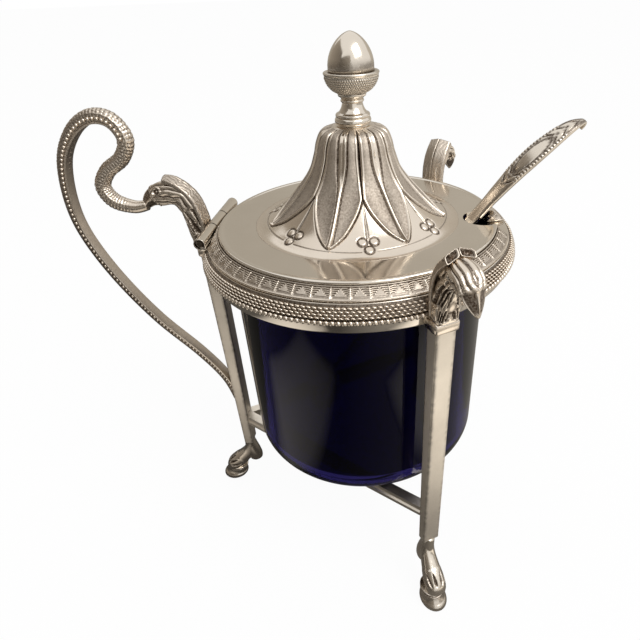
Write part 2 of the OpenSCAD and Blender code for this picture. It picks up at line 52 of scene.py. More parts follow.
COLLAR_Z0, COLLAR_Z1, COLLAR_HALF_W, COLLAR_D = 84.45, 86.95, 2.8, 4.6
NECK_HALF_W = 2.5
RIM_Z, LID_Z0, LID_TOP, LID_FIELD = 91.5, 93.15, 94.35, 94.15
LID_R, DOME_R, DOME_TOP = 33.0, 21.5, 115.45
NOTCH_AZ, NOTCH_AT, NOTCH_R, NOTCH_HALF_W = -1.5, 29.7, 4.5, 4.2
HINGE_X, HINGE_Z, KNUCKLE_R, BORE_R = -35.0, 92.95, 1.35, 0.74
BARREL_HALF, LID_KNUCKLE_HALF, KNUCKLE_GAP = 13.5, 3.9, 0.2
STEM_TOP, CUP_TOP = 121.85, 126.25

# Points of one piece that are closer than this, in millimetres, become one
MERGE = 0.001


def smooth(points, steps):
    """A smooth curve through rows of numbers."""
    p = np.asarray(points, float)
    i = np.arange(len(p) - 1)
    a, b = p[np.maximum(i - 1, 0), None], p[i, None]
    c, d = p[i + 1, None], p[np.minimum(i + 2, len(p) - 1), None]
    t = (np.arange(steps) / steps)[None, :, None]
    q = b + 0.5 * t * (c - a + t * (2 * a - 5 * b + 4 * c - d + t * (3 * (b - c) + d - a)))
    return np.vstack([q.reshape(-1, p.shape[1]), p[-1:]])


def spaced(points, n):
    """n stations at equal steps along a curve, and how far along it each one is."""
    gaps = np.linalg.norm(np.diff(points[:, :2], axis=0), axis=1)
    s = np.concatenate([[0], np.cumsum(gaps)])
    t = np.linspace(0, s[-1], n)
    return np.stack([np.interp(t, s, c) for c in points.T], 1), t


def arc(cx, cy, r, a0, a1, n=10):
    """Points on an arc, angles in degrees."""
    a = np.radians(np.linspace(a0, a1, n))
    return np.stack([cx + r * np.cos(a), cy + r * np.sin(a)], 1)


def soften(outline, r, k=4):
    """A closed outline with each corner rounded back by r."""
    p = np.asarray(outline, float)
    t = np.linspace(0, 1, k)[:, None]
    out = []
    for a, b, c in zip(np.roll(p, 1, 0), p, np.roll(p, -1, 0)):
        lu, lv = np.linalg.norm(a - b), np.linalg.norm(c - b)
        s = b + (a - b) / lu * min(r, lu * 0.45)
        e = b + (c - b) / lv * min(r, lv * 0.45)
        out.append((1 - t) ** 2 * s + 2 * t * (1 - t) * b + t * t * e)
    return np.vstack(out)


def ridge(d, w):
    """A round ridge of half width w along d = 0."""
    return np.sqrt(np.clip(1 - (d / w) ** 2, 0, 1))


def step(x, a, b):
    """0 below a, 1 above b, smooth between."""
    t = np.clip((x - a) / (b - a), 0, 1)
    return t * t * (3 - 2 * t)


def turned(p, az):
    """Points turned about the pot's axis by az degrees."""
    c, s = math.cos(math.radians(az)), math.sin(math.radians(az))
    return np.asarray(p) @ np.array([[c, s, 0], [-s, c, 0], [0, 0, 1]])


def spun(profile, az):
    """A grid of points, one column of (radius, height) for each angle in az (radians)."""
    r, z = profile.T
    a = az[:, None]
    return np.stack([r * np.cos(a), r * np.sin(a), z + 0 * a], 2)


def outward(p, centre, wrap_u=False, wrap_v=True):
    """Unit normals of a grid of points, away from centre."""
    du = np.roll(p, -1, 0) - np.roll(p, 1, 0) if wrap_u else np.gradient(p, axis=0)
    dv = np.roll(p, -1, 1) - np.roll(p, 1, 1) if wrap_v else np.gradient(p, axis=1)
    n = np.cross(du, dv)
    n /= np.maximum(np.linalg.norm(n, axis=2, keepdims=True), 1e-9)
    return n if np.sum(n * (p - centre)) > 0 else -n


def ring_angles(n, start=0.0):
    """n equal steps round a circle as angles (radians), the first one start steps on."""
    return (np.arange(n) + start) * TAU / n


def folded(a):
    """Angles (radians) without whole turns and signs, from 0 to pi."""
    return np.abs((a + math.pi) % TAU - math.pi)


def radial(az):
    """Unit vectors out from the pot's axis at angles in radians."""
    return np.stack([np.cos(az), np.sin(az), 0 * az], 1)


def heading(line):
    """The unit way along a line at each of its rows."""
    t = np.gradient(line[:, :2], axis=0)
    return t / np.linalg.norm(t, axis=1, keepdims=True)


def shaped(x, power):
    """x to a power, with its sign kept."""
    return np.sign(x) * np.abs(x) ** power


def sweep(line, n, power=1.0):
    """Rings round a line of (r, z, half thickness, half width) in the plane y = 0, and their angles.

    The first point of each ring is on the right of the way along the line, seen with r to the right.
    """
    a = ring_angles(n)
    r, z, thick, wide = line.T[:4, :, None]
    tr, tz = heading(line).T[..., None]
    power = np.broadcast_to(power, len(line))[:, None]
    side = thick * shaped(np.cos(a), power)
    return np.stack([r + side * tz, wide * shaped(np.sin(a), power), z - side * tr], 2), a


def raised(p, h):
    """Rings of points moved outward by h."""
    return p + outward(p, p.mean(axis=1, keepdims=True)) * h[..., None]


def right_of(way):
    """The way to the right of a unit way."""
    return way[..., ::-1] * [1, -1]


def rounded(hx, hy, r, k=4):
    """Corners of a rounded rectangle about the origin, as x and y."""
    i = np.arange(4 * k)
    a = np.radians(i // k * 90 + i % k * 90 / (k - 1))
    mid = np.radians(i // k * 90 + 45)
    return np.sign(np.cos(mid)) * (hx - r) + r * np.cos(a), np.sign(np.sin(mid)) * (hy - r) + r * np.sin(a)


def even_block(hx, hy, r, n):
    """n points at equal steps round a rounded rectangle, as x and y."""
    p = np.stack(rounded(hx, hy, r), 1)
    return spaced(np.vstack([p, p[:1]]), n + 1)[0][:-1].T


def grid_faces(nu, nv, wrap_u, wrap_v):
    """Faces of four over a grid of points, closed round the ways that wrap."""
    u = np.arange(nu if wrap_u else nu - 1)[:, None]
    v = np.arange(nv if wrap_v else nv - 1)[None]
    u2, v2 = (u + 1) % nu, (v + 1) % nv
    return np.stack([u * nv + v, u2 * nv + v, u2 * nv + v2, u * nv + v2], -1).reshape(-1, 4)


def link(name, data):
    obj = bpy.data.objects.new(name, data)
    bpy.context.scene.collection.objects.link(obj)
    return obj


def new_object(name, points, faces):
    """A new mesh in the scene, from points in millimetres."""
    mesh = bpy.data.meshes.new(name)
    mesh.from_pydata((np.reshape(points, (-1, 3)) * MM).tolist(), [], faces)
    return link(name, mesh)


def clean(mesh):
    """Points in one place become one, and all faces look outward."""
    bm = bmesh.new()
    bm.from_mesh(mesh)
    bmesh.ops.remove_doubles(bm, verts=bm.verts, dist=MERGE * MM)
    bmesh.ops.recalc_face_normals(bm, faces=bm.faces)
    bm.to_mesh(mesh)
    bm.free()


class Shape:
    """Grids and copies gathered into one mesh, with a dark and a grain value at each point."""

    def __init__(self):
        self.points, self.quads, self.caps, self.dark, self.grain = [], [], [], [], []
        self.count = 0

    def add(self, points, quads, caps=(), dark=0.0, grain=0.0):
        points = points.reshape(-1, 3)
        n = len(points)
        self.points.append(points)
        self.quads.append(quads + self.count)
        self.caps += [[i + self.count for i in cap] for cap in caps]
        self.dark.append(np.broadcast_to(np.ravel(dark), n))
        self.grain.append(np.broadcast_to(np.ravel(grain), n))
        self.count += n

    def grid(self, p, wrap_u=False, wrap_v=True, dark=0.0, grain=0.0):
        """A surface over a grid of points. A tube gets a cap at each end."""
        nu, nv = p.shape[:2]
        caps = []
        if wrap_v and not wrap_u:
            caps = [list(range(nv)), list(range((nu - 1) * nv, nu * nv))]
        dark, grain = np.broadcast_to(dark, (nu, nv)), np.broadcast_to(grain, (nu, nv))
        self.add(p, grid_faces(nu, nv, wrap_u, wrap_v), caps, dark, grain)

    def lathe(self, profile, n, closed=True, dark=0.0):
        """A turned form: a closed outline, or an open one that starts and ends on the axis."""
        self.grid(spun(profile, ring_angles(n)), True, closed, dark)

    def balls(self, centres, axes, seg=10, rings=7):
        """Ellipsoids: one for each centre, with three half axes as rows, for each one or for all."""
        lat = np.linspace(-math.pi / 2, math.pi / 2, rings)
        ball = spun(np.stack([np.cos(lat), np.sin(lat)], 1), ring_angles(seg)).reshape(-1, 3)
        faces = grid_faces(seg, rings, True, False)
        faces = faces + (np.arange(len(centres)) * len(ball))[:, None, None]
        self.add(centres[:, None] + ball @ axes, faces.reshape(-1, 4))

    def brick(self, lo, hi, r, az=0.0):
        """A block with rounded edges, turned about the axis."""
        lo, hi = np.array([lo, hi], float)
        mid, half = (lo + hi) / 2, (hi - lo) / 2
        rows = []
        for end, z0 in ((-1, lo[2]), (1, hi[2])):
            for up, back in ((0.0, 1.0), (0.3, 0.3), (1.0, 0.0))[::-end]:
                x, y = rounded(half[0] - back * r, half[1] - back * r, r)
                rows.append(np.stack([mid[0] + x, mid[1] + y, 0 * x + z0 - end * up * r], 1))
        self.grid(turned(rows, az))

    def make(self, name, body, material, nodes, sharp=None, cutter=None):
        """The finished piece, less what the cutter takes out, with edges over sharp degrees kept crisp."""
        obj = new_object(name, np.concatenate(self.points), np.concatenate(self.quads).tolist() + self.caps)
        for label, values in (("dark", self.dark), ("grain", self.grain)):
            layer = obj.data.attributes.new(label, "FLOAT", "POINT")
            layer.data.foreach_set("value", np.concatenate(values).astype(np.float32))
        clean(obj.data)
        obj.data.materials.append(material)
        if cutter:
            cut = obj.modifiers.new("cut", "BOOLEAN")
            cut.object = cutter
            cut.solver = "EXACT"
            done = obj.evaluated_get(bpy.context.evaluated_depsgraph_get())
            obj.data = bpy.data.meshes.new_from_object(done)
            obj.modifiers.clear()
        obj.data.shade_smooth()
        if sharp:
            obj.data.set_sharp_from_angle(angle=math.radians(sharp))
        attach(obj, body)
        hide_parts(*nodes)


# Materials

def fill(tree, node, inputs):
    """Numbers, colours or outputs of other nodes go into a node's inputs."""
    for name, value in inputs.items():
        socket = node.inputs[name]
        if isinstance(value, (int, float)):
            socket.default_value = value
        elif isinstance(value, tuple):
            socket.default_value = (*value, 1.0)[:len(socket.default_value)]
        else:
            tree.links.new(value, socket)


def add_node(tree, kind, inputs, **settings):
    node = tree.nodes.new("ShaderNode" + kind)
    for name, value in settings.items():
        setattr(node, name, value)
    fill(tree, node, inputs)
    return node


def calc(tree, operation, a, b, c=0.0):
    return add_node(tree, "Math", {0: a, 1: b, 2: c}, operation=operation).outputs[0]


def attribute(tree, name):
    return add_node(tree, "Attribute", {}, attribute_name=name).outputs["Fac"]


def noise(tree, scale, detail, stretch=(1.0, 1.0, 1.0)):
    coord = add_node(tree, "TexCoord", {}).outputs["Object"]
    place = add_node(tree, "Mapping", {"Vector": coord, "Scale": stretch}).outputs["Vector"]
    return add_node(tree, "TexNoise", {"Vector": place, "Scale": scale, "Detail": detail}).outputs["Fac"]


def mixed(tree, share, a, b):
    """Colour a, with a share of colour b."""
    return add_node(tree, "Mix", {0: share, 6: a, 7: b}, data_type="RGBA").outputs[2]


def limited(tree, value):
    return add_node(tree, "Clamp", {"Value": value}).outputs[0]


def new_material(name):
    mat = bpy.data.materials.new(name)
    mat.use_nodes = True
    return mat, mat.node_tree, mat.node_tree.nodes["Principled BSDF"]


# The dark colour of soot, and of shade painted where a piece sets dark for it
OXIDE_AND_SHADE = (0.07, 0.046, 0.03)
GRAIN_DEPTH = 0.13
GLASS_IOR = 1.27


def metal(name, bright, warm, polish, blotch):
    """Silver: bright where it is rubbed, dark where dark is high, matte where grain is high."""
    mat, tree, bsdf = new_material(name)
    dark, grain = attribute(tree, "dark"), attribute(tree, "grain")
    cloud = noise(tree, 70.0, 4.0)
    speck = noise(tree, 2600.0, 4.0)
    scratch = noise(tree, 420.0, 3.0, (1.0, 7.0, 2.0))
    # Soot and painted shade lie where dark is set, broken up by specks, and in faint clouds
    soot_and_shade = calc(tree, "MULTIPLY", dark, calc(tree, "MULTIPLY_ADD", speck, 1.4, 0.25))
    soot_and_shade = limited(tree, calc(tree, "MULTIPLY_ADD", calc(tree, "SUBTRACT", cloud, 0.5), blotch, soot_and_shade))
    colour = mixed(tree, soot_and_shade, mixed(tree, cloud, bright, warm), OXIDE_AND_SHADE)
    rough = calc(tree, "MULTIPLY_ADD", scratch, 0.12, polish)
    rough = calc(tree, "MULTIPLY_ADD", soot_and_shade, 0.3, rough)
    rough = limited(tree, calc(tree, "MULTIPLY_ADD", grain, 0.26, rough))
    height = calc(tree, "MULTIPLY", speck, calc(tree, "MULTIPLY_ADD", grain, 0.9, 0.05))
    bump = add_node(tree, "Bump", {"Strength": 0.35, "Distance": GRAIN_DEPTH * MM, "Height": height})
    fill(tree, bsdf, {"Metallic": 1.0, "Base Color": colour, "Roughness": rough,
                      "Normal": bump.outputs["Normal"]})
    return mat


def cobalt():
    mat, tree, bsdf = new_material("cobalt_glass")
    colour = mixed(tree, noise(tree, 30.0, 2.0), (0.011, 0.008, 0.058), (0.018, 0.014, 0.088))
    rough = calc(tree, "MULTIPLY_ADD", noise(tree, 260.0, 3.0, (1.0, 1.0, 0.3)), 0.05, 0.005)
    fill(tree, bsdf, {"Transmission Weight": 1.0, "IOR": GLASS_IOR, "Base Color": colour, "Roughness": rough})
    return mat


POLISHED = metal("polished_silver", (0.79, 0.735, 0.655), (0.71, 0.645, 0.555), 0.04, 0.10)
CHASED = metal("chased_silver", (0.80, 0.72, 0.62), (0.71, 0.615, 0.51), 0.14, 0.22)
OXIDISED = metal("oxidised_silver", (0.72, 0.66, 0.575), (0.62, 0.56, 0.475), 0.2, 0.25)
# A dark copy of the silver for the hinge pin: painted shade, so the bore reads as a dark hollow
PIN_SHADE = metal("pin_shade_silver", (0.16, 0.13, 0.10), (0.11, 0.09, 0.07), 0.3, 0.3)
SATIN = metal("satin_silver", (0.77, 0.705, 0.615), (0.69, 0.615, 0.52), 0.1, 0.15)
TARNISHED = metal("tarnished_silver", (0.88, 0.815, 0.715), (0.79, 0.725, 0.63), 0.26, 0.4)
GLASS = cobalt()


# Stand: ring with its braid and beads, legs, heads, feet and handle

RING_STEPS = 256
BRAID_COUNT, BRAID_TILT, BRAID_ROWS = 200, math.radians(-14), (0.05, 0.32, 0.59, 0.86)
BRAID_LOW, BRAID_HIGH = np.array([37.3, 88.78]), np.array([36.42, 90.95])
STRAND_HALF_AXES = np.array([0.6, 0.23, 0.36])[:, None]
BEAD_COUNT, BALL_R = 198, 0.62
BRAID_CLEAR, BEAD_CLEAR = 2.6, 2.9


def at_leg(az, width):
    """True where an angle (radians) lies behind one of the legs' collars."""
    return np.any([folded(az - math.radians(leg)) < width for leg in LEGS.values()], axis=0)


def gallery():
    ring = Shape()
    lip = arc(LIP_R, BEAD_Z - BEAD_R, 3.2, -90, -40, 12)
    outline = np.vstack([
        [[RING_R, RING_Z0], [LIP_R, RING_Z0]], lip,
        [[BAND_R + 0.5, BEAD_Z - BEAD_R], [BAND_R + 0.5, BEAD_Z + BEAD_R], [BAND_R, BEAD_Z + BEAD_R],
         [BAND_R, RING_Z1], [RING_R, RING_Z1]]])
    ring.lathe(soften(outline, 0.25), RING_STEPS)
    ring.make("gallery_ring_turned", "stand", POLISHED, ["gallery_ring"], 35)


def braid():
    piece = Shape()
    base = soften([[BAND_R, BEAD_Z + BEAD_R], [BAND_R + 1.0, BEAD_Z + BEAD_R], [BAND_R + 1.0, 88.8],
                   [BAND_R + 0.1, RING_Z1 - 0.1], [BAND_R, RING_Z1 - 0.1]], 0.1)
    piece.lathe(base, RING_STEPS, dark=0.8)
    slope = BRAID_HIGH - BRAID_LOW
    face = slope / np.linalg.norm(slope)
    for row, share in enumerate(BRAID_ROWS):
        az = ring_angles(BRAID_COUNT, 0.5 * row)
        az = az[~at_leg(az, BRAID_CLEAR / BAND_R)]
        r, z = BRAID_LOW + slope * share
        away = radial(az)
        tangent = np.stack([-np.sin(az), np.cos(az), 0 * az], 1)
        up = away * face[0] + [0, 0, face[1]]
        out = away * face[1] - [0, 0, face[0]]
        long = tangent * math.cos(BRAID_TILT) + up * math.sin(BRAID_TILT)
        wide = up * math.cos(BRAID_TILT) - tangent * math.sin(BRAID_TILT)
        piece.balls(away * r + [0, 0, z], np.stack([long, wide, out], 1) * STRAND_HALF_AXES)
    piece.make("braid_woven", "stand", CHASED, ["braid_band"])


def beads():
    piece = Shape()
    wire = soften(arc(BEAD_AT - 0.12, BEAD_Z, 0.45, 0, 330, 12), 0.05)
    piece.lathe(wire, RING_STEPS, dark=0.75)
    az = ring_angles(BEAD_COUNT)
    az = az[~at_leg(az, BEAD_CLEAR / BEAD_AT)]
    piece.balls(radial(az) * BEAD_AT + [0, 0, BEAD_Z], np.eye(3) * BALL_R)
    piece.make("bead_row", "stand", CHASED, ["bead_wire"])


LEG_EDGE_R = 0.35


def legs():
    rows, dark = [], []
    for h in np.linspace(ANKLE_Z, COLLAR_Z0, 160):
        depth = np.interp(h, [ANKLE_Z, COLLAR_Z0], [LEG_FOOT_HALF, LEG_TOP_HALF])
        x, y = even_block(depth, LEG_HALF_W, LEG_EDGE_R, 72)
        rows.append(np.stack([LEG_R + x, y, 0 * x + h], 1))
        # Darker along the edges, in patches, and painted shade towards the foot, near the floor
        edge = 1 - step(np.maximum(depth - np.abs(x), LEG_HALF_W - np.abs(y)), 0.15, 1.0)
        wear = 0.5 + 0.5 * math.sin(1.9 * h + 2.5 * math.sin(0.67 * h))
        dark.append(0.06 + 0.12 * (1 - step(h, 20, 45)) + (0.12 + 0.25 * wear) * edge)
    for name, az in LEGS.items():
        leg = Shape()
        leg.grid(turned(rows, az), dark=dark, grain=0.5)
        leg.make("leg_" + name, "stand", TARNISHED, ["leg_shaft_" + name], 40)


# Lines of the heads and manes above the collar, as (r, z, half thickness, half width)
HEAD_LINE = [
    [0.3, 0.3, 2.3, 2.55], [0.6, 3, 2.45, 2.5], [1, 6, 2.6, 2.45], [1.7, 9, 2.7, 2.4], [3.6, 11.6, 2.7, 2.4],
    [6.2, 11.9, 2.35, 2.8], [8, 10.6, 2.05, 2.75], [9.2, 8.8, 1.5, 2.25], [10.1, 7.3, 0.95, 1.4],
    [10.8, 5.9, 0.35, 0.4]]
HELD_LINE = [
    [0.6, 0.3, 2.4, 2.55], [1, 3, 2.6, 2.5], [1.5, 6, 2.75, 2.4], [2.3, 9, 2.75, 2.4],
    [4.2, 11.6, 2.75, 2.4], [6.8, 12.4, 2.75, 2.4], [9.2, 12, 2.65, 2.3], [11.2, 11.3, 2.3, 2],
    [12.5, 10.5, 1.8, 1.7], [13.3, 9.6, 1.3, 1.4], [13.7, 8.9, 0.7, 0.8]]
MANE_LINE = [
    [-1.2, 0.8, 0.5, 1.3], [-1.2, 3, 0.5, 1.4], [-0.9, 7, 0.55, 1.55], [0, 10.4, 0.65, 1.6],
    [1.7, 13.2, 0.75, 1.6], [4, 15.4, 0.85, 1.55]]
HELD_MANE_LINE = [
    [-1.2, 0.8, 0.5, 1.3], [-1.1, 4, 0.5, 1.3], [-0.6, 7.6, 0.55, 1.25], [0.6, 10.9, 0.6, 1.2],
    [2.4, 13.4, 0.6, 1.15], [4.7, 15.2, 0.6, 1.1], [6.3, 15.8, 0.6, 1.05], [7.5, 15.9, 0.6, 1]]
HELD_RISE = 1.2
# Where each beak starts, and each eye as (how far along the head, angle, slant, half length)
HEAD_BEAK, HEAD_EYE = 17.6, (14.5, 1.25, 0.43, 1.3)
HELD_BEAK, HELD_EYE = 20.0, (18.4, 2.0, 0.0, 0.75)
MANE_EDGE_R, MANE_SLOPE = 0.4, 0.35


def on_collar(line, rise):
    """A line moved up onto the collar of a leg, with its upper part raised further by rise."""
    p = np.array(line, float)
    p[:, 1] += COLLAR_Z1 + rise * np.clip((p[:, 1] - 4) / 6, 0, 1)
    p[:, 0] += LEG_R
    return p


def neck_block(piece, az):
    """The collar and the block that fills the ring's socket above it."""
    inner, outer = SOCKET_R, LEG_R + COLLAR_D / 2
    piece.brick([inner, -COLLAR_HALF_W, COLLAR_Z0], [outer, COLLAR_HALF_W, COLLAR_Z1], 0.5, az)
    piece.brick([inner, -NECK_HALF_W, COLLAR_Z1 - 0.2], [outer - 0.6, NECK_HALF_W, RING_Z1 - 0.4], 0.4, az)


def slots(cuts, v, s):
    """Rounded slots cut along straight lines: one (v0, s0, v1, s1, half width) for each."""
    deep = np.zeros(np.broadcast(v, s).shape)
    for v0, s0, v1, s1, wide in cuts:
        dv, ds = v1 - v0, s1 - s0
        t = np.clip(((v - v0) * dv + (s - s0) * ds) / (dv ** 2 + ds ** 2), 0, 1)
        d = np.hypot(v - v0 - t * dv, s - s0 - t * ds)
        deep = np.maximum(deep, ridge(d, wide))
    return deep


def mane(piece, az, line, rise, depth):
    """Two strips of wavy hair that lean together like a roof, with a hollow in the end of each."""
    path, s = spaced(smooth(on_collar(line, rise), 8), 110)
    t = heading(path)
    for sign in (-1, 1):
        rows, dark = [], []
        for (r, z, thick, half), (tr, tz), at in zip(path, t, s):
            x, y = even_block(thick, half, MANE_EDGE_R, 60)
            wave = 0.5 * np.sin(TAU * at / 4.6 + 0.8 * sign) + 0.2 * np.sin(TAU * at / 1.9)
            hair = np.abs(np.sin(math.pi * (y / 0.95 + wave)))
            top = step(-x, 0.0, 0.6 * thick)
            x = x + depth * top * (1 - np.sqrt(hair))
            y = y + sign * (half + 0.06)
            x = x + MANE_SLOPE * np.abs(y) - 0.3
            rows.append(np.stack([r + x * tz, y, z - x * tr], 1))
            dark.append(0.34 + 2.5 * depth * top * (1 - step(hair, 0.15, 0.6)))
        end = rows[-1]
        middle = end.mean(axis=0)
        rows.append(middle + 0.85 * (end - middle))
        rows.append(middle + 0.78 * (end - middle) - 0.5 * np.array([t[-1, 0], 0, t[-1, 1]]))
        dark += [np.full(len(end), 0.2), np.ones(len(end))]
        piece.grid(turned(rows, az), dark=dark, grain=0.2)


# Cuts between the neck's feathers, as rows for slots()
NECK_CUTS = [
    (0.42, 0.7, 0.12, 2.6, 0.2), (1.2, 0.7, 0.8, 3.2, 0.28), (1.95, 0.7, 1.7, 2.7, 0.26),
    (2.7, 0.8, 2.4, 3, 0.26), (0.2, 8.6, 0.7, 4.2, 0.2), (0.9, 8.8, 1.6, 6.4, 0.3),
    (1.6, 6.4, 2.4, 4.2, 0.24), (1.9, 9.2, 2.6, 6.6, 0.32), (2.6, 6.6, 3.3, 4.2, 0.24),
    (0.5, 10, 1.6, 9.2, 0.28), (2.9, 9.6, 3.6, 6.8, 0.3), (3.6, 6.4, 4, 3.6, 0.26),
    (4.3, 9.6, 4.7, 5.6, 0.28), (4.9, 4.8, 4.7, 1.4, 0.26), (3.6, 3, 3.5, 0.8, 0.26)]


def head(name, line, mane_line, rise, beak_from, eye_place, mane_depth):
    az = LEGS[name]
    eye_s, eye_angle, eye_slant, eye_half = eye_place
    piece = Shape()
    neck_block(piece, az)
    mane(piece, az, mane_line, rise, mane_depth)
    path, s = spaced(smooth(on_collar(line, rise), 10), 220)
    power = np.interp(s, [0, 5, 12, beak_from - 1, beak_from + 1.5, s[-1]], [0.45, 0.6, 0.8, 0.85, 1.7, 1.7])
    p, a = sweep(path, 128, power)
    s2, a2 = s[:, None], a[None]
    side = folded(a2)
    beak = step(s2, beak_from - 0.4, beak_from + 0.6)
    # The eye: a slanted almond under a brow
    along = s2 - eye_s
    rise_up = (side - eye_angle) * 2.3 + eye_slant * along
    eye = np.hypot(along / eye_half, rise_up / 0.6)
    clear = step(eye, 1.0, 1.5)
    # Wavy strands over the head, and deep feathers down the front and sides of the neck
    strand = np.abs(np.sin(6 * side + 0.5 * np.sin(TAU * s2 / 7.0) + 0.25 * np.sin(TAU * s2 / 2.9 + side)))
    hair = step(s2, 9.5, 11.0) * (1 - beak) * clear
    deep = slots(NECK_CUTS, side * 2.45, s2)
    lower = step(s2, 0.5, 1.5) * (1 - step(s2, 9.0, 10.5)) * (1 - step(deep, 0.05, 0.6))
    curl = np.abs(np.sin(5.5 * side + 0.9 * np.sin(TAU * s2 / 5.2 + side)))
    h = hair * (0.45 * np.sqrt(strand) - 0.3) - 0.55 * deep - 0.2 * lower * (1 - np.sqrt(curl))
    dark = np.maximum(hair * (1 - step(strand, 0.12, 0.5)), step(deep, 0.05, 0.6))
    dark = np.maximum(dark, lower * (0.7 - 0.58 * step(curl, 0.1, 0.6)))
    brow = ridge(eye - 1.35, 0.35) * (rise_up > -0.3)
    h = h - 0.35 * ridge(eye, 1.0) + 0.22 * ridge(eye, 0.45) + 0.25 * brow
    dark = np.maximum(dark, step(1.05 - eye, 0.0, 0.15) * step(eye, 0.3, 0.5))
    # The beak: four dark facets between bright edges
    facet = beak * step(np.abs(np.sin(2 * a2)), 0.4, 0.75) * (1 - step(s2, s[-1] - 1.2, s[-1] - 0.4))
    h = h - 0.12 * facet + 0.2 * ridge(s2 - beak_from, 0.5)
    dark = np.maximum(dark, 0.85 * facet)
    piece.grid(turned(raised(p, h), az), dark=np.clip(dark, 0, 1))
    piece.make("griffin_" + name, "stand", CHASED, ["eagle_head_" + name])


# Lines of the foot and the spur behind it below the ankle, as (r, z, half thickness, half width)
FOOT_LINE = [
    [0, 0.3, 1.3, 2], [0.1, -1.2, 1.4, 1.8], [0.3, -3, 1.55, 1.8], [1.3, -5.6, 1.95, 2],
    [3.6, -8.4, 2.3, 2.4], [5.5, -10.3, 2.5, 2.7], [6.9, -11.9, 2.55, 2.8], [7.5, -13.2, 2.3, 2.6]]
SPUR_LINE = [
    [0.3, 0.2, 1.5, 1.5], [0.1, -2.5, 2.1, 1.7], [-0.2, -5, 2.5, 1.8], [-0.5, -7.2, 2.6, 1.7],
    [-0.9, -8.9, 2, 1.4], [-1.1, -9.7, 0.7, 0.5]]
HOOF_AT, HOOF_R, HOOF_SOLE_R, HOOF_H = 46.3, 3.7, 2.9, 4.5
HOOF_LONG, HOOF_WIDE, HOOF_RAKE = 1.1, 0.96, 0.36
HOOF_SLOTS = (-1.7, -1.02, -0.34, 0.34, 1.02, 1.7)
SLOT_AT, SLOT_HALF = 12.6, 1.7
FRONT_LEAN = 8.0


def leaned(p, lean):
    """Points of a foot, leaning to one side from the ankle down by lean degrees."""
    c, s = math.cos(math.radians(lean)), math.sin(math.radians(lean))
    y, z = p[..., 1], p[..., 2] - ANKLE_Z
    return np.stack([p[..., 0], y * c + z * s, ANKLE_Z + z * c - y * s], -1)


def foot(name, lean):
    az = LEGS[name]
    piece = Shape()
    seat = [LEG_R, ANKLE_Z, 0, 0]
    path, s = spaced(smooth(np.array(FOOT_LINE) + seat, 10), 130)
    p, a = sweep(path, 96, 0.9)
    s2 = s[:, None]
    slot = np.zeros(p.shape[:2])
    for at in HOOF_SLOTS:
        off = a[None] - math.pi - at * (1.25 - 0.12 * (s2 - 10.0))
        wide = 0.2 + 0.08 * (s2 - 10.8)
        slot = np.maximum(slot, ridge(np.hypot((s2 - SLOT_AT) / SLOT_HALF, off * 2.6 / wide), 1.0))
    h = 0.1 * step(s2, 9.5, 10.5) - 0.5 * slot
    piece.grid(turned(leaned(raised(p, h), lean), az), dark=step(slot, 0.1, 0.6), grain=0.2)
    path, _ = spaced(smooth(np.array(SPUR_LINE) + seat, 8), 40)
    p, _ = sweep(path, 32)
    piece.grid(turned(leaned(p, lean), az))
    outline = np.vstack([
        [[0, 0], [HOOF_SOLE_R, 0]], arc(HOOF_R - 1.3, 1.5, 1.3, -60, 50, 8),
        [[2.95, 3.2], [2.75, HOOF_H - 0.5]], arc(2.85, HOOF_H - 0.25, 0.28, -60, 70, 6),
        [[2.72, HOOF_H + 0.05]], arc(2.78, HOOF_H + 0.3, 0.28, -60, 70, 6), [[0, HOOF_H + 0.7]]])
    hoof, _ = spaced(outline, 80)
    q = spun(hoof, ring_angles(96)) * [HOOF_LONG, HOOF_WIDE, 1]
    q[..., 0] -= HOOF_RAKE * q[..., 2]
    seam = np.maximum(ridge(hoof[:, 1] - HOOF_H + 0.52, 0.16), ridge(hoof[:, 1] - HOOF_H - 0.04, 0.12))
    # The seams hold dark oxide; the hoof below the coronet is a little darker, a painted dark reflection
    dark = np.maximum(seam * (hoof[:, 0] > 2), 0.16 * (1 - step(hoof[:, 1], HOOF_H - 1.0, HOOF_H - 0.6)))
    q = q + [HOOF_AT, -ANKLE_Z * math.sin(math.radians(lean)), 0]
    piece.grid(turned(q, az), True, False, dark=dark)
    piece.make("hoof_" + name, "stand", SATIN, ["hoof_foot_" + name])


# The handle's line from the beak that holds it round to the leg, as (r, z)
HANDLE_LINE = [
    [13.4, 6], [17, 5.6], [21.6, 7.2], [23.4, 10.8], [21, 14.6], [16.6, 17.6], [14.4, 22], [16.8, 26.2],
    [21.5, 26.9], [26.7, 23.8], [31.2, 17.2], [33.2, 7.2], [32.2, -2.4], [27.2, -14.6], [19.3, -27.3],
    [9.4, -39], [3.5, -48], [1, -56.4]]
HANDLE_AZ = LEGS["handle"]
CURL_END, STRAP_START = 6, 12
STRAP_HALF_T, STRAP_HALF_W = 1.12, 1.2
SCALE_WIDE, SCALE_LONG = 0.85, 0.75
BEAD_STEP, STRAP_BEAD_R = 1.16, 0.44


def handle_path():
    """Rows of (r, z, half thickness, half width, share of strap, place in line), and how far along."""
    line = np.array(HANDLE_LINE, float) + [LEG_R, RING_Z1]
    i = np.arange(len(line))
    share = np.clip((i - CURL_END) / (STRAP_START - CURL_END), 0, 1)
    body = np.interp(i, [0, 1, 2, 4], [1.25, 1.6, 1.85, 1.75])
    thick = body + (STRAP_HALF_T - body) * share
    wide = body + (STRAP_HALF_W - body) * share
    path = np.column_stack([line, thick, wide, share, i])
    return spaced(smooth(path, 12), 900)


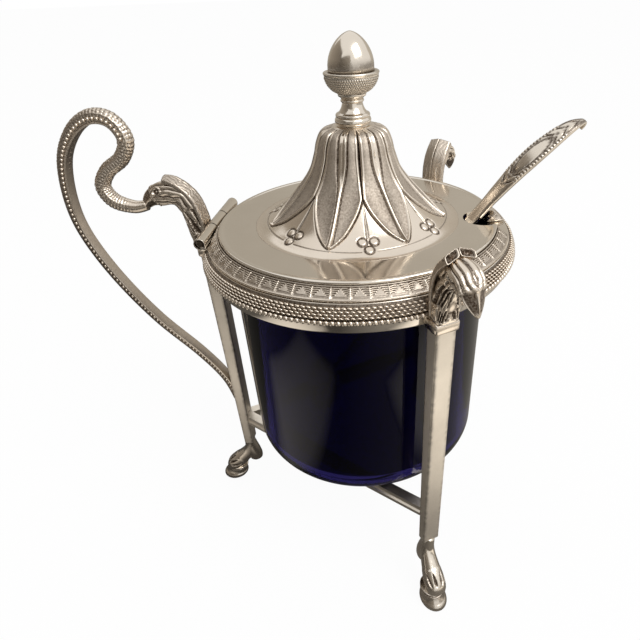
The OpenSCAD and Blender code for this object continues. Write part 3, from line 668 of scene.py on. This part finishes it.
def serpent(piece, path, s):
    """The serpent's body, with fine scales and two raised lines on each side down to the strap."""
    share, i = path[:, 4], path[:, 5]
    p, a = sweep(path, 64, 1.0 - 0.45 * share)
    girth = (path[:, 2] + path[:, 3]) / 2
    across = np.round(TAU * girth / SCALE_WIDE)[:, None] * a[None] / TAU
    down = s[:, None] / SCALE_LONG
    row = np.floor(down)
    cell = (across + 0.5 * (row % 2)) % 1 - 0.5
    scale = np.clip(1 - 3.2 * cell ** 2 - 2.2 * (down - row - 0.35) ** 2, 0, 1)
    skin = (step(i, 0.7, 2.2) * (1 - step(share, 0.5, 0.9)))[:, None]
    side = folded(a[None])
    lines = np.maximum(ridge(side - 1.05, 0.1), ridge(side - 2.0, 0.1)) * skin
    h = skin * (0.22 * np.sqrt(scale) - 0.12) * (1 - lines) + 0.12 * lines
    dark = 0.75 * skin * (1 - step(scale, 0.05, 0.5)) * (1 - lines)
    groove = share[:, None] * ridge(side - 1.7, 0.9)
    piece.grid(turned(raised(p, h), HANDLE_AZ), dark=np.maximum(dark, 0.9 * groove), grain=0.2)


def inner_face(piece, strip, inward):
    """A flat face along the inside, from the curl down, its flat darkened as a painted dark reflection."""
    grown = step(strip[:, 5], CURL_END - 0.4, CURL_END + 3.0)
    rows = []
    for q, u, g in zip(strip, inward, grown):
        x, y = rounded(0.24, 0.9 + 0.7 * g, 0.12)
        off = q[2] - 0.2
        rows.append(np.stack([q[0] + (x + off) * u[0], y, q[1] + (x + off) * u[1]], 1))
    rows = np.array(rows)
    flat = np.abs(rows[..., 1]) < 0.93 * np.abs(rows[..., 1]).max(axis=1, keepdims=True)
    # The flat's darkness is a painted dark reflection
    piece.grid(turned(rows, HANDLE_AZ), dark=0.35 * flat, grain=0.3)


def strap_beads(strip, inward, length):
    at = np.arange(length[0] + 2.0, length[-1] - 0.4, BEAD_STEP)
    middle = strip[:, :2] + (0.2 * strip[:, 2])[:, None] * inward
    reach = np.interp(at, length, 1.85 - 0.63 * strip[:, 4])
    r, z = [np.interp(at, length, c) for c in middle.T]
    for name, sign in (("near", 1), ("far", -1)):
        row = Shape()
        row.balls(turned(np.stack([r, sign * reach, z], 1), HANDLE_AZ), np.eye(3) * STRAP_BEAD_R)
        row.make("handle_beads_" + name, "stand", CHASED, ["handle_bead_" + name])


def handle():
    path, s = handle_path()
    keep = path[:, 5] >= CURL_END - 0.4
    inward = right_of(heading(path))[keep]
    piece = Shape()
    serpent(piece, path, s)
    inner_face(piece, path[keep], inward)
    piece.make("serpent_handle", "stand", CHASED, ["handle"])
    strap_beads(path[keep], inward, s[keep])


# Hinge

KNUCKLE_EDGE_R, MOUTH_R, MOUTH_DEEP, END_SHADE = 0.08, 1.1, 0.9, 0.09


def barrel(shape, y0, y1, mouth=0):
    """A knuckle from y0 to y1, with a wide mouth at its low end (mouth -1) or its high end (mouth 1)."""
    outline = [[y0, BORE_R], [y0, KNUCKLE_R], [y1, KNUCKLE_R], [y1, BORE_R]]
    if mouth < 0:
        outline[:1] = [[y0 + MOUTH_DEEP, BORE_R], [y0 + MOUTH_DEEP, MOUTH_R], [y0, MOUTH_R]]
    if mouth > 0:
        outline[3:] = [[y1, MOUTH_R], [y1 - MOUTH_DEEP, MOUTH_R], [y1 - MOUTH_DEEP, BORE_R]]
    outline = soften(outline, KNUCKLE_EDGE_R)
    # Two more rings near the ends of the long side keep the painted shade at the ends narrow
    span = np.linalg.norm(np.diff(outline, axis=0), axis=1)
    k = np.argmax(span)
    share = np.array([[0.1], [span[k] - 0.1]]) / span[k]
    outline = np.insert(outline, k + 1, outline[k] + (outline[k + 1] - outline[k]) * share, axis=0)
    y, r = outline.T
    p = spun(outline[:, ::-1], ring_angles(48))[..., [0, 2, 1]] + [HINGE_X, 0, HINGE_Z]
    # Painted shade in the mouth and the bore, and on the ends that face the gaps between knuckles
    dark = 0.8 * (r < MOUTH_R + 0.05)
    for side, end in ((-1, y0), (1, y1)):
        if side != mouth:
            dark = np.maximum(dark, np.abs(y - end) < END_SHADE)
    shape.grid(p, True, True, dark=dark)


def hinge():
    fixed = Shape()
    near = LID_KNUCKLE_HALF + KNUCKLE_GAP
    for y0, y1, mouth in ((-BARREL_HALF, -near, -1), (near, BARREL_HALF, 1)):
        barrel(fixed, y0, y1, mouth)
        fixed.brick([HINGE_X, y0 + 0.1, RING_Z1], [HINGE_X + KNUCKLE_R, y1 - 0.1, HINGE_Z - 0.6], 0.15)
    fixed.make("hinge_knuckles", "stand", POLISHED, ["hinge_frame_leaf"], 35)
    moving = Shape()
    barrel(moving, -LID_KNUCKLE_HALF, LID_KNUCKLE_HALF)
    moving.brick([HINGE_X + 1.0, -LID_KNUCKLE_HALF, LID_Z0 - 0.8],
                 [HINGE_X + 8, LID_KNUCKLE_HALF, LID_Z0], 0.2)
    moving.make("hinge_leaf", "lid", POLISHED, ["hinge_lid_leaf"], 35)


# Lid

CUT_REACH, CUT_Z0, CUT_Z1 = 60, 90.0, 98.0
PLATE_HOLE_R, PLATE_EDGE_R = 18.5, 0.4


def notch_cutter():
    """A block in the shape of the spoon's opening, for cutting the plate."""
    side = arc(NOTCH_AT, 0, NOTCH_R, 69, 291, 40)
    outline = np.vstack([side, [[CUT_REACH, -NOTCH_HALF_W], [CUT_REACH, NOTCH_HALF_W]]])
    n = len(outline)
    rows = [np.column_stack([outline, np.full(n, z)]) for z in (CUT_Z0, CUT_Z1)]
    faces = grid_faces(2, n, False, True).tolist() + [list(range(n)), list(range(n, 2 * n))]
    cutter = new_object("notch", turned(rows, NOTCH_AZ), faces)
    clean(cutter.data)
    return cutter


def plate():
    shape = Shape()
    outline = np.vstack([
        [[PLATE_HOLE_R, LID_Z0], [32.7, LID_Z0], [LID_R, LID_Z0 + 0.15], [LID_R, LID_Z0 + 0.3],
         [LID_R, LID_TOP - 0.62], [LID_R, LID_TOP - 0.5]],
        arc(LID_R - PLATE_EDGE_R, LID_TOP - PLATE_EDGE_R, PLATE_EDGE_R, -5, 85, 9),
        [[32.3, LID_TOP], [32.0, LID_TOP - 0.06], [31.7, LID_FIELD + 0.02], [31.4, LID_FIELD],
         [PLATE_HOLE_R, LID_FIELD]]])
    # The low part of the outer side carries painted shade, where it stands in the rim
    dark = np.zeros(len(outline))
    dark[2:5] = 0.8
    shape.lathe(outline, RING_STEPS, True, dark)
    cutter = notch_cutter()
    shape.make("lid_plate_polished", "lid", POLISHED, ["lid_plate"], 30, cutter)
    bpy.data.objects.remove(cutter)


PALMETTES = 57
CELL_COLS, CELL_ROWS = 44, 40
CELL_W, CELL_H = 3.95, 3.1
RIM_LOW, RIM_HIGH = np.array([35.76, 91.9]), np.array([33.3, 93.65])
# At the hinge the rim is cut straight, over this half width and at this x
HINGE_HALF, RIM_BACK = 14.2, -33.25


def palmette():
    """Height and darkness over one palmette: fronds fanned up a stem, over lined ground."""
    x = (np.arange(CELL_COLS) + 0.5) / CELL_COLS - 0.5
    y = np.linspace(0, 1, CELL_ROWS)
    gx, gy = np.meshgrid(x * CELL_W, y * CELL_H, indexing="ij")
    high = ridge(gx, 0.15) * step(gy, 0.25, 0.4) * (1 - step(gy, 2.75, 2.9))
    t = np.linspace(0, 1, 24)
    for k in range(4):
        fx = (1.0 + 0.28 * k) * t
        fy = 1.05 + 0.44 * k + 0.75 * t - 0.55 * t ** 2
        d = np.min(np.hypot(np.abs(gx)[..., None] - fx, gy[..., None] - fy), axis=-1)
        high = np.maximum(high, ridge(d, 0.14))
    fan = step(0.85 + 0.75 * (gy - 1.15) - np.abs(gx), -0.35, 0.25) * step(gy, 0.85, 1.15)
    scored = np.maximum(ridge(gy - 0.75, 0.08), ridge(gy - 0.5, 0.08)) * step(np.abs(gx), 0.3, 0.5)
    border = np.maximum(1 - step(gy, 0.12, 0.22), step(gy, 2.92, 3.0))
    high = np.maximum(high, border)
    ground = np.maximum(fan, np.maximum(0.6 * scored, 0.36)) * (1 - border)
    plain = 0.6 * (1 - fan) * (1 - scored)
    return np.maximum(high, plain), ground - (ground - 0.08) * step(high, 0.1, 0.6)


def rim():
    shape = Shape()
    slope = np.linspace(RIM_LOW, RIM_HIGH, CELL_ROWS)
    inner = np.array([[33.2, 93.66], [33.02, 93.5], [32.6, 93.1], [31.8, 93.1], [31.8, RIM_Z]])
    outer = np.array([[35.75, RIM_Z], [35.88, 91.6], [35.88, 91.82], [35.83, 91.88]])
    gap = math.degrees(math.asin(NOTCH_HALF_W / LID_R)) + 0.05
    count = round((360 - 2 * gap) / 360 * PALMETTES)
    az = np.radians(NOTCH_AZ + np.linspace(gap, 360 - gap, count * CELL_COLS))
    p = spun(np.vstack([slope, inner, outer]), az)
    h, dark = np.zeros((2, *p.shape[:2]))
    high, ground = [np.tile(cell, (count, 1)) for cell in palmette()]
    h[:, :CELL_ROWS] = 0.22 * high - 0.14
    dark[:, :CELL_ROWS] = ground
    # Painted shade on the rim's inner edge, in the gap by the plate
    dark[:, CELL_ROWS:CELL_ROWS + 3] = 0.75
    face = right_of(heading(slope))[0]
    p = p + h[..., None] * (radial(az) * face[0] + [0, 0, face[1]])[:, None]
    # Behind the hinge the rim is cut flat, and that flat carries painted shade beside the knuckles
    behind = (np.abs(p[..., 1]) < HINGE_HALF) & (p[..., 0] < RIM_BACK)
    p[..., 0] = np.where(behind, RIM_BACK, p[..., 0])
    shape.grid(p, False, True, dark=np.where(behind, 0.6, dark))
    shape.make("rim_palmettes", "lid", CHASED, ["lid_rim_band"])


# The dome's outline from its foot up, as (r, z) from DOME_R and LID_TOP
DOME_LINE = [
    [2.7, -0.198], [2.2, -0.185], [1.7, -0.14], [1.1, 0.02], [0.4, 0.32], [-0.8, 0.92], [-3.2, 2.4],
    [-6.6, 5.5], [-9.4, 8.6], [-11.2, 11], [-12.4, 13.2], [-13.2, 15.3], [-13.8, 17.8], [-14.8, 19.9],
    [-17.2, 21.1]]
LEAF_TIPS = [-158, -101.6, -53.9, -5.7, 47, 98, 149]
LEAF_R = [12.3, 14, 16, 18, 19.5, 20.5, 21]
LEAF_SHARE = [1, 0.83, 0.61, 0.4, 0.22, 0.1, 0]
LEAF_COLS = 64
LEAF_LOW, LEAF_HIGH = 102, 109
DOME_WALL, STUD_HOLE_R = 1.1, 1.05
# The discs between two leaves, as (radius on the dome, degrees to each side), and the line past them
DISCS, DISC_R, FIELD_LINE_R = ((19.2, 3.75), (20.96, 0.0)), 1.05, 21.35


def leaf_columns():
    """Angles round the dome, how far each is from the tip of its leaf, and half that leaf's pitch there."""
    tips = np.array(LEAF_TIPS)
    ahead = np.diff(np.append(tips, tips[0] + 360)) / 2
    rows = []
    for tip, after, before in zip(tips, ahead, np.roll(ahead, 1)):
        for start, end in ((-before, 0), (0, after)):
            off = np.linspace(start, end, LEAF_COLS, endpoint=False)
            rows.append(np.column_stack([tip + off, np.abs(off), 0 * off + end - start]))
    return np.radians(np.vstack(rows)).T


def dome_relief(line, s, off, pitch):
    """Height, darkness and grain over the outside of the dome."""
    r, z = line.T
    y, wide = r * off[:, None], r * pitch[:, None]
    k = np.clip(wide / 3.5, 0.35, 1)
    half = np.interp(r, LEAF_R, LEAF_SHARE) * wide
    inside = half - y
    # Leaves: a bright edge and mid rib, with grained panels between
    leaf = step(inside, -0.02, 0.2)
    rise_to = step(z, LEAF_LOW, LEAF_HIGH)
    groove = ridge(inside, (0.21 + 0.04 * rise_to) * k) * (r < LEAF_R[-1])
    edge = ridge(inside - 0.48 * k, 0.3 * k)
    rib_w = (0.36 + 0.4 * rise_to) * k
    line_w = (0.15 + 0.13 * rise_to) * k
    rib = ridge(y, rib_w) * step(inside, 0.1, 0.6)
    lines = ridge(y - rib_w - line_w, line_w) * step(inside, 0.6 * k, 0.9 * k)
    panel = step(inside, 0.66 * k, 0.9 * k) * step(y - rib_w, line_w, 2 * line_w)
    swell = np.sin(math.pi * np.clip(y / np.maximum(half, 0.01), 0, 1))
    bulge = -0.35 + 0.8 * rise_to
    cut = (0.35 - 0.15 * rise_to) * groove + 0.25 * lines
    h = leaf * (0.35 + bulge * swell) + 0.2 * edge + 0.28 * rib - cut
    # Grooves and lines hold dark oxide; the grained panels are dark oxide too, and darker towards their sides
    # as painted shade of each half-blade's curve
    dark = np.maximum(np.maximum(groove, lines), (0.5 - 0.1 * rise_to + 0.3 * (1 - swell)) * panel)
    # Three engraved discs on a stem, in each gap between two leaves
    gap = (pitch - off)[:, None]
    for at, turn in DISCS:
        d = np.hypot(s - np.interp(-at, -r, s), r * (gap - math.radians(turn)))
        ring = ridge(d - DISC_R, 0.26)
        h = h - 0.15 * ring + 0.18 * ridge(d, 0.9)
        dark = np.maximum(dark, ring)
    taper = 0.16 + 0.26 * step(r, 12.8, 18.0)
    stem = ridge(r * gap, taper) * step(r, 12.6, 13.0) * (1 - step(r, 18.4, 18.8))
    core = ridge(r * gap, 0.3 * taper)
    h = h + (0.22 * core - 0.16) * stem
    dark = np.maximum(dark, 0.95 * stem * (1 - core))
    # An engraved line round the field, between the discs and the tips
    field = ridge(s - np.interp(-FIELD_LINE_R, -r, s), 0.14) * step(r * gap, 1.5, 1.7) * (1 - leaf)
    h = h - 0.08 * field
    dark = np.maximum(dark, 0.75 * field)
    # No relief at the dome's foot and its top
    plain = step(r, 4.4, 5.0)
    return h * step(r, 4.4, 8.2) * step(s, 0.3, 1.2), dark * plain, panel * plain


def dome_inside(line):
    """The outline of the inside of the dome, from the stud's hole down."""
    back, _ = spaced(line[::-1], 24)
    back = back + DOME_WALL * right_of(heading(back))
    back[:, 0] = np.maximum(back[:, 0], STUD_HOLE_R)
    back[:, 1] = np.clip(back[:, 1], LID_FIELD, DOME_TOP - DOME_WALL)
    return np.vstack([[[STUD_HOLE_R, DOME_TOP], [STUD_HOLE_R, DOME_TOP - DOME_WALL]], back[1:]])


def dome():
    line, s = spaced(smooth(np.array(DOME_LINE) + [DOME_R, LID_TOP], 20), 240)
    az, off, pitch = leaf_columns()
    h, dark, grain = dome_relief(line, s, off, pitch)
    p = spun(line, az)
    p = p + outward(p, p * [0, 0, 1], True, False) * h[..., None]
    back = spun(dome_inside(line), az)
    pad = np.zeros(back.shape[:2])
    shape = Shape()
    shape.grid(np.concatenate([p, back], 1), True, True, np.hstack([dark, pad]), np.hstack([grain, pad]))
    shape.make("leaf_dome_chased", "lid", CHASED, ["leaf_dome"])


# Finial

FINIAL_SIDES = 128
CUP_FLOOR, CUP_ROWS, CUP_DOTS, DOT_STEP = 125.25, 40, 68, 0.5
ACORN_R, ACORN_H = 4.85, 7.1


def finial_stem():
    stem = Shape()
    outline = np.vstack([
        [[STUD_HOLE_R, DOME_TOP], [3.6, DOME_TOP]], arc(3.1, DOME_TOP + 1.0, 0.9, -70, 60, 8),
        arc(3.3, DOME_TOP + 2.05, 0.5, -60, 80, 6),
        smooth([[3.1, 118.1], [2.6, 118.8], [2.3, 119.6], [2.25, 120.1]], 5),
        arc(2.2, 120.45, 0.35, -60, 60, 5), smooth([[2.3, 120.75], [2.6, 121.1], [3.0, 121.35]], 4),
        [[3.1, STEM_TOP], [STUD_HOLE_R, STEM_TOP]]])
    stem.lathe(soften(outline, 0.1, 3), FINIAL_SIDES)
    stem.make("finial_stem_turned", "lid", SATIN, ["finial_stem"], 40)


def acorn_cup():
    """A cup with rows of raised dots round its wall, and a dark bed for the acorn."""
    cup = Shape()
    wall = smooth([[2.95, STEM_TOP], [4.1, 122.45], [5.1, 123.5], [5.65, 124.7], [5.75, 125.4]], 12)
    wall, s = spaced(wall, CUP_ROWS)
    lip = arc(5.62, 125.8, 0.3, -60, 90, 8)
    bed = [[4.95, 126.05], [4.9, 125.3], [STUD_HOLE_R, CUP_FLOOR], [STUD_HOLE_R, STEM_TOP]]
    outline = np.vstack([wall, lip, bed])
    az = ring_angles(480)
    k = np.arange(len(outline))
    dotted = (k < CUP_ROWS - 2)[None]
    around = az[:, None] * CUP_DOTS / TAU
    down = np.interp(k, k[:CUP_ROWS], s)[None] / DOT_STEP
    row = np.floor(down)
    cell = (around + 0.5 * (row % 2)) % 1 - 0.5
    dot = np.clip(1 - 4 * cell ** 2 - 4 * (down - row - 0.5) ** 2, 0, 1) * dotted * (k > 1)
    p = spun(outline, az) + (0.2 * np.sqrt(dot) - 0.1 * dotted)[..., None] * radial(az)[:, None]
    under = (k > len(outline) - 4) & (k < len(outline) - 1)
    dark = np.maximum(0.5 * (1 - step(dot, 0.0, 0.5)) * dotted, 0.9 * under)
    cup.grid(p, True, True, dark=dark, grain=0.4 * dotted)
    cup.make("acorn_cup_knurled", "lid", OXIDISED, ["acorn_cup"])


def acorn():
    nut = Shape()
    a = np.radians(np.linspace(0, 90, 40))
    egg = np.stack([ACORN_R * np.cos(a) ** 1.25, CUP_TOP + ACORN_H * (0.1 + 0.9 * np.sin(a) ** 1.04)], 1)
    egg[-1, 0] = 0.0
    outline = np.vstack([[[0, CUP_FLOOR], [ACORN_R, CUP_FLOOR]], egg])
    # The acorn is darker low down by the cup: a painted dark reflection
    nut.lathe(outline, FINIAL_SIDES, False, 0.5 * (1 - step(outline[:, 1], CUP_TOP + 0.8, CUP_TOP + 2.6)))
    nut.make("acorn_polished", "lid", SATIN, ["acorn_nut"])


# Liner and spoon

LINER_HOLLOW = 0.6


def liner():
    inner = LINER_R - LINER_WALL
    corner = LINER_CORNER - LINER_WALL
    outline = np.vstack([
        [[0, LINER_Z0 + LINER_HOLLOW], [14, LINER_Z0 + LINER_HOLLOW], [17, LINER_Z0]],
        arc(LINER_R - LINER_CORNER, LINER_Z0 + LINER_CORNER, LINER_CORNER, -90, 0, 16),
        arc(LINER_R - LINER_WALL / 2, LINER_Z1 - LINER_WALL / 2, LINER_WALL / 2, 0, 180, 14),
        arc(inner - corner, LINER_Z0 + LINER_FLOOR + corner, corner, 0, -90, 14),
        [[0, LINER_Z0 + LINER_FLOOR]]])
    shape = Shape()
    shape.lathe(outline, 192, False)
    shape.make("glass_liner_blown", "liner", GLASS, ["glass_liner"])


SPOON_AT, SPOON_SIDE, SPOON_LEAN, SPOON_TURN = 28.351, 1.1, 53.0, 38.0
BOWL_REACH, BOWL_C, BOWL_R, BOWL_WALL = 69.04, 4.5, 9.0, 0.9
BOWL_LIP_AT, BOWL_LIP_R = 7.3, 0.45
OVAL_Z, OVAL_LONG, OVAL_WIDE = 17.5, 4.4, 1.35
SPOON_BEAD_STEP, SPOON_BEAD_R = 0.78, 0.33
# The stem in its own frame, from the bowl to the curled tip, as (x, z, half thickness, half width)
SPOON_LINE = [
    [0, -61.85, 0.7, 1.5], [0, -30.9, 0.7, 1.35], [0, 0, 0.7, 1.5], [0, 7, 0.7, 1.77],
    [-0.2, 12.5, 0.7, 2.18], [-0.8, 17, 0.7, 2.4], [-2, 21.5, 0.7, 2.22], [-4, 26.4, 0.63, 1.59],
    [-6.4, 28.9, 0.34, 0.76], [-7.35, 28.45, 0.33, 0.58], [-7.65, 27.5, 0.26, 0.4]]


def spoon_place(p):
    """Points of the spoon's own frame, moved to where it leans in the opening."""
    m = (Matrix.Rotation(math.radians(NOTCH_AZ), 4, "Z") @ Matrix.Translation((SPOON_AT, SPOON_SIDE, LID_TOP))
         @ Matrix.Rotation(math.radians(90 - SPOON_LEAN), 4, "Y")
         @ Matrix.Rotation(math.radians(180 + SPOON_TURN), 4, "Z"))
    m = np.array(m)
    return p @ m[:3, :3].T + m[:3, 3]


def spoon_stem(shape):
    """The stem, with beads along the edges of its wide end and leaves round a plain oval."""
    path, s = spaced(smooth(SPOON_LINE, 30), 560)
    p, a = sweep(path, 64, 0.55)
    z, half = path[:, [1, 3]].T[..., None]
    y = p[..., 1]
    show = step(z, 8.5, 10.0) * step(np.cos(a), 0.25, 0.6)
    oval = np.hypot((z - OVAL_Z) / OVAL_LONG, y / OVAL_WIDE)
    border = half - 0.38 - np.abs(y)
    bead_at = (s[:, None] / SPOON_BEAD_STEP) % 1 - 0.5
    bead = ridge(np.hypot(bead_at * SPOON_BEAD_STEP, border), SPOON_BEAD_R)
    bead = bead * step(z, 10.5, 11.5) * (1 - step(z, 24.5, 25.5))
    leafy = np.abs(np.sin(1.5 * np.abs(z - OVAL_Z) + 2.0 * np.abs(y)))
    field = step(oval, 1.1, 1.25) * step(border, 0.2, 0.45)
    rim_line = ridge((oval - 1.1) * 1.4, 0.2)
    h = show * (0.2 * bead + field * (0.34 * np.sqrt(leafy) - 0.24) - 0.12 * rim_line)
    gaps = step(border, -0.5, -0.2) * (1 - bead) * (1 - step(border, 0.3, 0.5)) * step(z, 10.5, 11.5)
    dark = np.maximum(np.maximum(field * (1 - step(leafy, 0.25, 0.75)), 0.9 * rim_line), 0.8 * gaps)
    shape.grid(spoon_place(raised(p, h)), dark=np.clip(show * dark, 0, 1))


def spoon_bowl(shape):
    inner = BOWL_R - BOWL_WALL
    outline = np.vstack([
        arc(0, BOWL_C, BOWL_R, -90, -math.degrees(math.asin(BOWL_C / BOWL_R)) - 1, 28),
        arc(BOWL_LIP_AT, -0.1, BOWL_LIP_R, 0, 180, 8),
        arc(0, BOWL_C, inner, -math.degrees(math.asin(BOWL_C / inner)) - 1, -90, 28)])
    outline[[0, -1], 0] = 0.0
    q = spun(outline, ring_angles(96))
    q = np.stack([q[..., 2], q[..., 1], -q[..., 0] - BOWL_REACH], 2)
    shape.grid(spoon_place(q), True, False)


def spoon():
    shape = Shape()
    spoon_stem(shape)
    spoon_bowl(shape)
    shape.make("spoon_chased", "spoon", SATIN, ["mustard_spoon"])


gallery()
braid()
beads()
legs()
head("front", HEAD_LINE, MANE_LINE, 0.0, HEAD_BEAK, HEAD_EYE, 0.2)
head("back", HEAD_LINE, MANE_LINE, 0.0, HEAD_BEAK, HEAD_EYE, 0.06)
head("handle", HELD_LINE, HELD_MANE_LINE, HELD_RISE, HELD_BEAK, HELD_EYE, 0.15)
foot("handle", 0.0)
foot("front", FRONT_LEAN)
foot("back", 0.0)
handle()
hinge()
plate()
rim()
dome()
finial_stem()
acorn_cup()
acorn()
liner()
spoon()

# Six pieces are shown as their CAD solids, so they only need a material; the hinge pin's dark one is painted
# shade in the bore
for node, material in (("stretcher_near", TARNISHED), ("stretcher_side", TARNISHED),
                       ("stretcher_far", TARNISHED), ("hinge_pin", PIN_SHADE),
                       ("finial_stud", OXIDISED), ("finial_nut", OXIDISED)):
    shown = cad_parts[node].data.materials
    shown.clear()
    shown.append(material)


# Floor, light and camera

FLOOR_HALF, FLOOR_GLOW, AMBIENT = 6000.0, 0.95, 0.75
CARD_POINTS = 9


def seen(tree):
    """1 for rays from the camera, and those seen in metal or through glass."""
    ray = add_node(tree, "LightPath", {}).outputs
    direct = calc(tree, "ADD", ray["Is Camera Ray"], ray["Is Glossy Ray"])
    return limited(tree, calc(tree, "ADD", direct, ray["Is Transmission Ray"]))


def floor():
    f = FLOOR_HALF
    obj = new_object("floor", [(-f, -f, 0), (f, -f, 0), (f, f, 0), (-f, f, 0)], [(0, 1, 2, 3)])
    mat, tree, bsdf = new_material("floor_paper")
    fill(tree, bsdf, {"Base Color": (0.85, 0.85, 0.85), "Roughness": 0.9, "Specular IOR Level": 0.0})
    glow = add_node(tree, "Emission", {"Color": (1.0, 1.0, 1.0)})
    shown = calc(tree, "MULTIPLY", seen(tree), FLOOR_GLOW)
    mix = add_node(tree, "MixShader", {"Fac": shown, 1: bsdf.outputs[0], 2: glow.outputs[0]})
    fill(tree, tree.nodes["Material Output"], {"Surface": mix.outputs[0]})
    obj.data.materials.append(mat)


def card(name, middle, across, up, colour, other=None, pool=False):
    """A studio card that only the metal and the glass see, in one colour or two.

    The second colour is blended in across the card, or as a soft pool in its middle.
    """
    m, u, v = np.array([middle, across, up])
    at = np.linspace(-1, 1, CARD_POINTS)
    gu, gv = [g.ravel()[:, None] for g in np.meshgrid(at, at, indexing="ij")]
    faces = grid_faces(CARD_POINTS, CARD_POINTS, False, False).tolist()
    obj = new_object(name, m + gu * u + gv * v, faces)
    blend = (gu + 1) / 2
    if pool:
        blend = ridge(gu, 1.0) * ridge(gv, 1.0)
    share = obj.data.attributes.new("share", "FLOAT", "POINT")
    share.data.foreach_set("value", blend.ravel().tolist())
    mat, tree, _ = new_material(name)
    if other:
        colour = mixed(tree, attribute(tree, "share"), colour, other)
    glow = add_node(tree, "Emission", {"Color": colour})
    fill(tree, tree.nodes["Material Output"], {"Surface": glow.outputs[0]})
    mat.cycles.emission_sampling = "NONE"
    obj.data.materials.append(mat)
    obj.visible_camera = False
    obj.visible_diffuse = False
    obj.visible_shadow = False
    obj.visible_transmission = False


floor()
DIM, DUSK, PALE = (0.06, 0.055, 0.05), (0.24, 0.225, 0.20), (1.6, 1.5, 1.35)
card("card_far", (0, 520, 240), (700, 0, 0), (0, 0, 240), (0.40, 0.37, 0.32), (0.66, 0.62, 0.56))
card("card_near", (-320, -620, 290), (380, 0, 0), (0, 0, 290), (0.10, 0.085, 0.07), (0.34, 0.31, 0.27))
card("card_left", (-620, -50, 450), (0, 550, 0), (0, 0, 450), (0.16, 0.14, 0.12), (0.40, 0.36, 0.31))
card("card_right", (620, 0, 75), (0, 550, 0), (0, 0, 75), (0.45, 0.43, 0.40))
# The table cards are dark near the pot, a painted shadow of the pot, and pale further out and in soft pools,
# painted light on the table, for the metal and glass to reflect
card("card_table_left", (-260, 0, 0.3), (240, 0, 0), (0, 500, 0), DUSK, DIM)
card("card_table_right", (240, 0, 0.3), (260, 0, 0), (0, 500, 0), DIM, PALE)
card("card_front_leg", (104, -68, 0.6), (60, 0, 0), (0, 46, 0), (0.12, 0.11, 0.10), PALE, True)
card("card_left_leg", (-80, -72, 0.6), (48, 0, 0), (0, 62, 0), DIM, (0.95, 0.885, 0.8), True)
card("card_table_front", (15, -228, 0.6), (70, 0, 0), (0, 48, 0), (0.8, 0.76, 0.68))

world = bpy.data.worlds.new("studio")
bpy.context.scene.world = world
world.use_nodes = True
sky = world.node_tree
strength = calc(sky, "MULTIPLY_ADD", seen(sky), 1.0 - AMBIENT, AMBIENT)
fill(sky, sky.nodes["Background"], {"Color": (1.0, 1.0, 1.0), "Strength": strength})

lamp = bpy.data.lights.new("key", "AREA")
lamp.size = 0.5
lamp.energy = 4.0
key = link("key", lamp)
key.location = (0.45, -0.35, 0.75)
key.rotation_euler = (Vector((0, 0, 0.07)) - key.location).to_track_quat("-Z", "Y").to_euler()

# The camera's place and axes, fitted to the photograph
EYE = (12.29, -118.87, 141.9)
RIGHT = Vector((0.99594, 0.08252, -0.03588))
UP = Vector((-0.01666, 0.56093, 0.8277))
BACK = Vector((0.08843, -0.82374, 0.56002))
lens = bpy.data.cameras.new("camera")
lens.lens = 29.25
lens.sensor_width = 36.0
lens.shift_x = -0.0625
lens.shift_y = 0.0156
lens.clip_start = 0.005
camera = link("camera", lens)
camera.matrix_world = Matrix.Translation(Vector(EYE) * MM) @ Matrix((RIGHT, UP, BACK)).transposed().to_4x4()
bpy.context.scene.camera = camera
bpy.context.scene.view_settings.view_transform = "Standard"
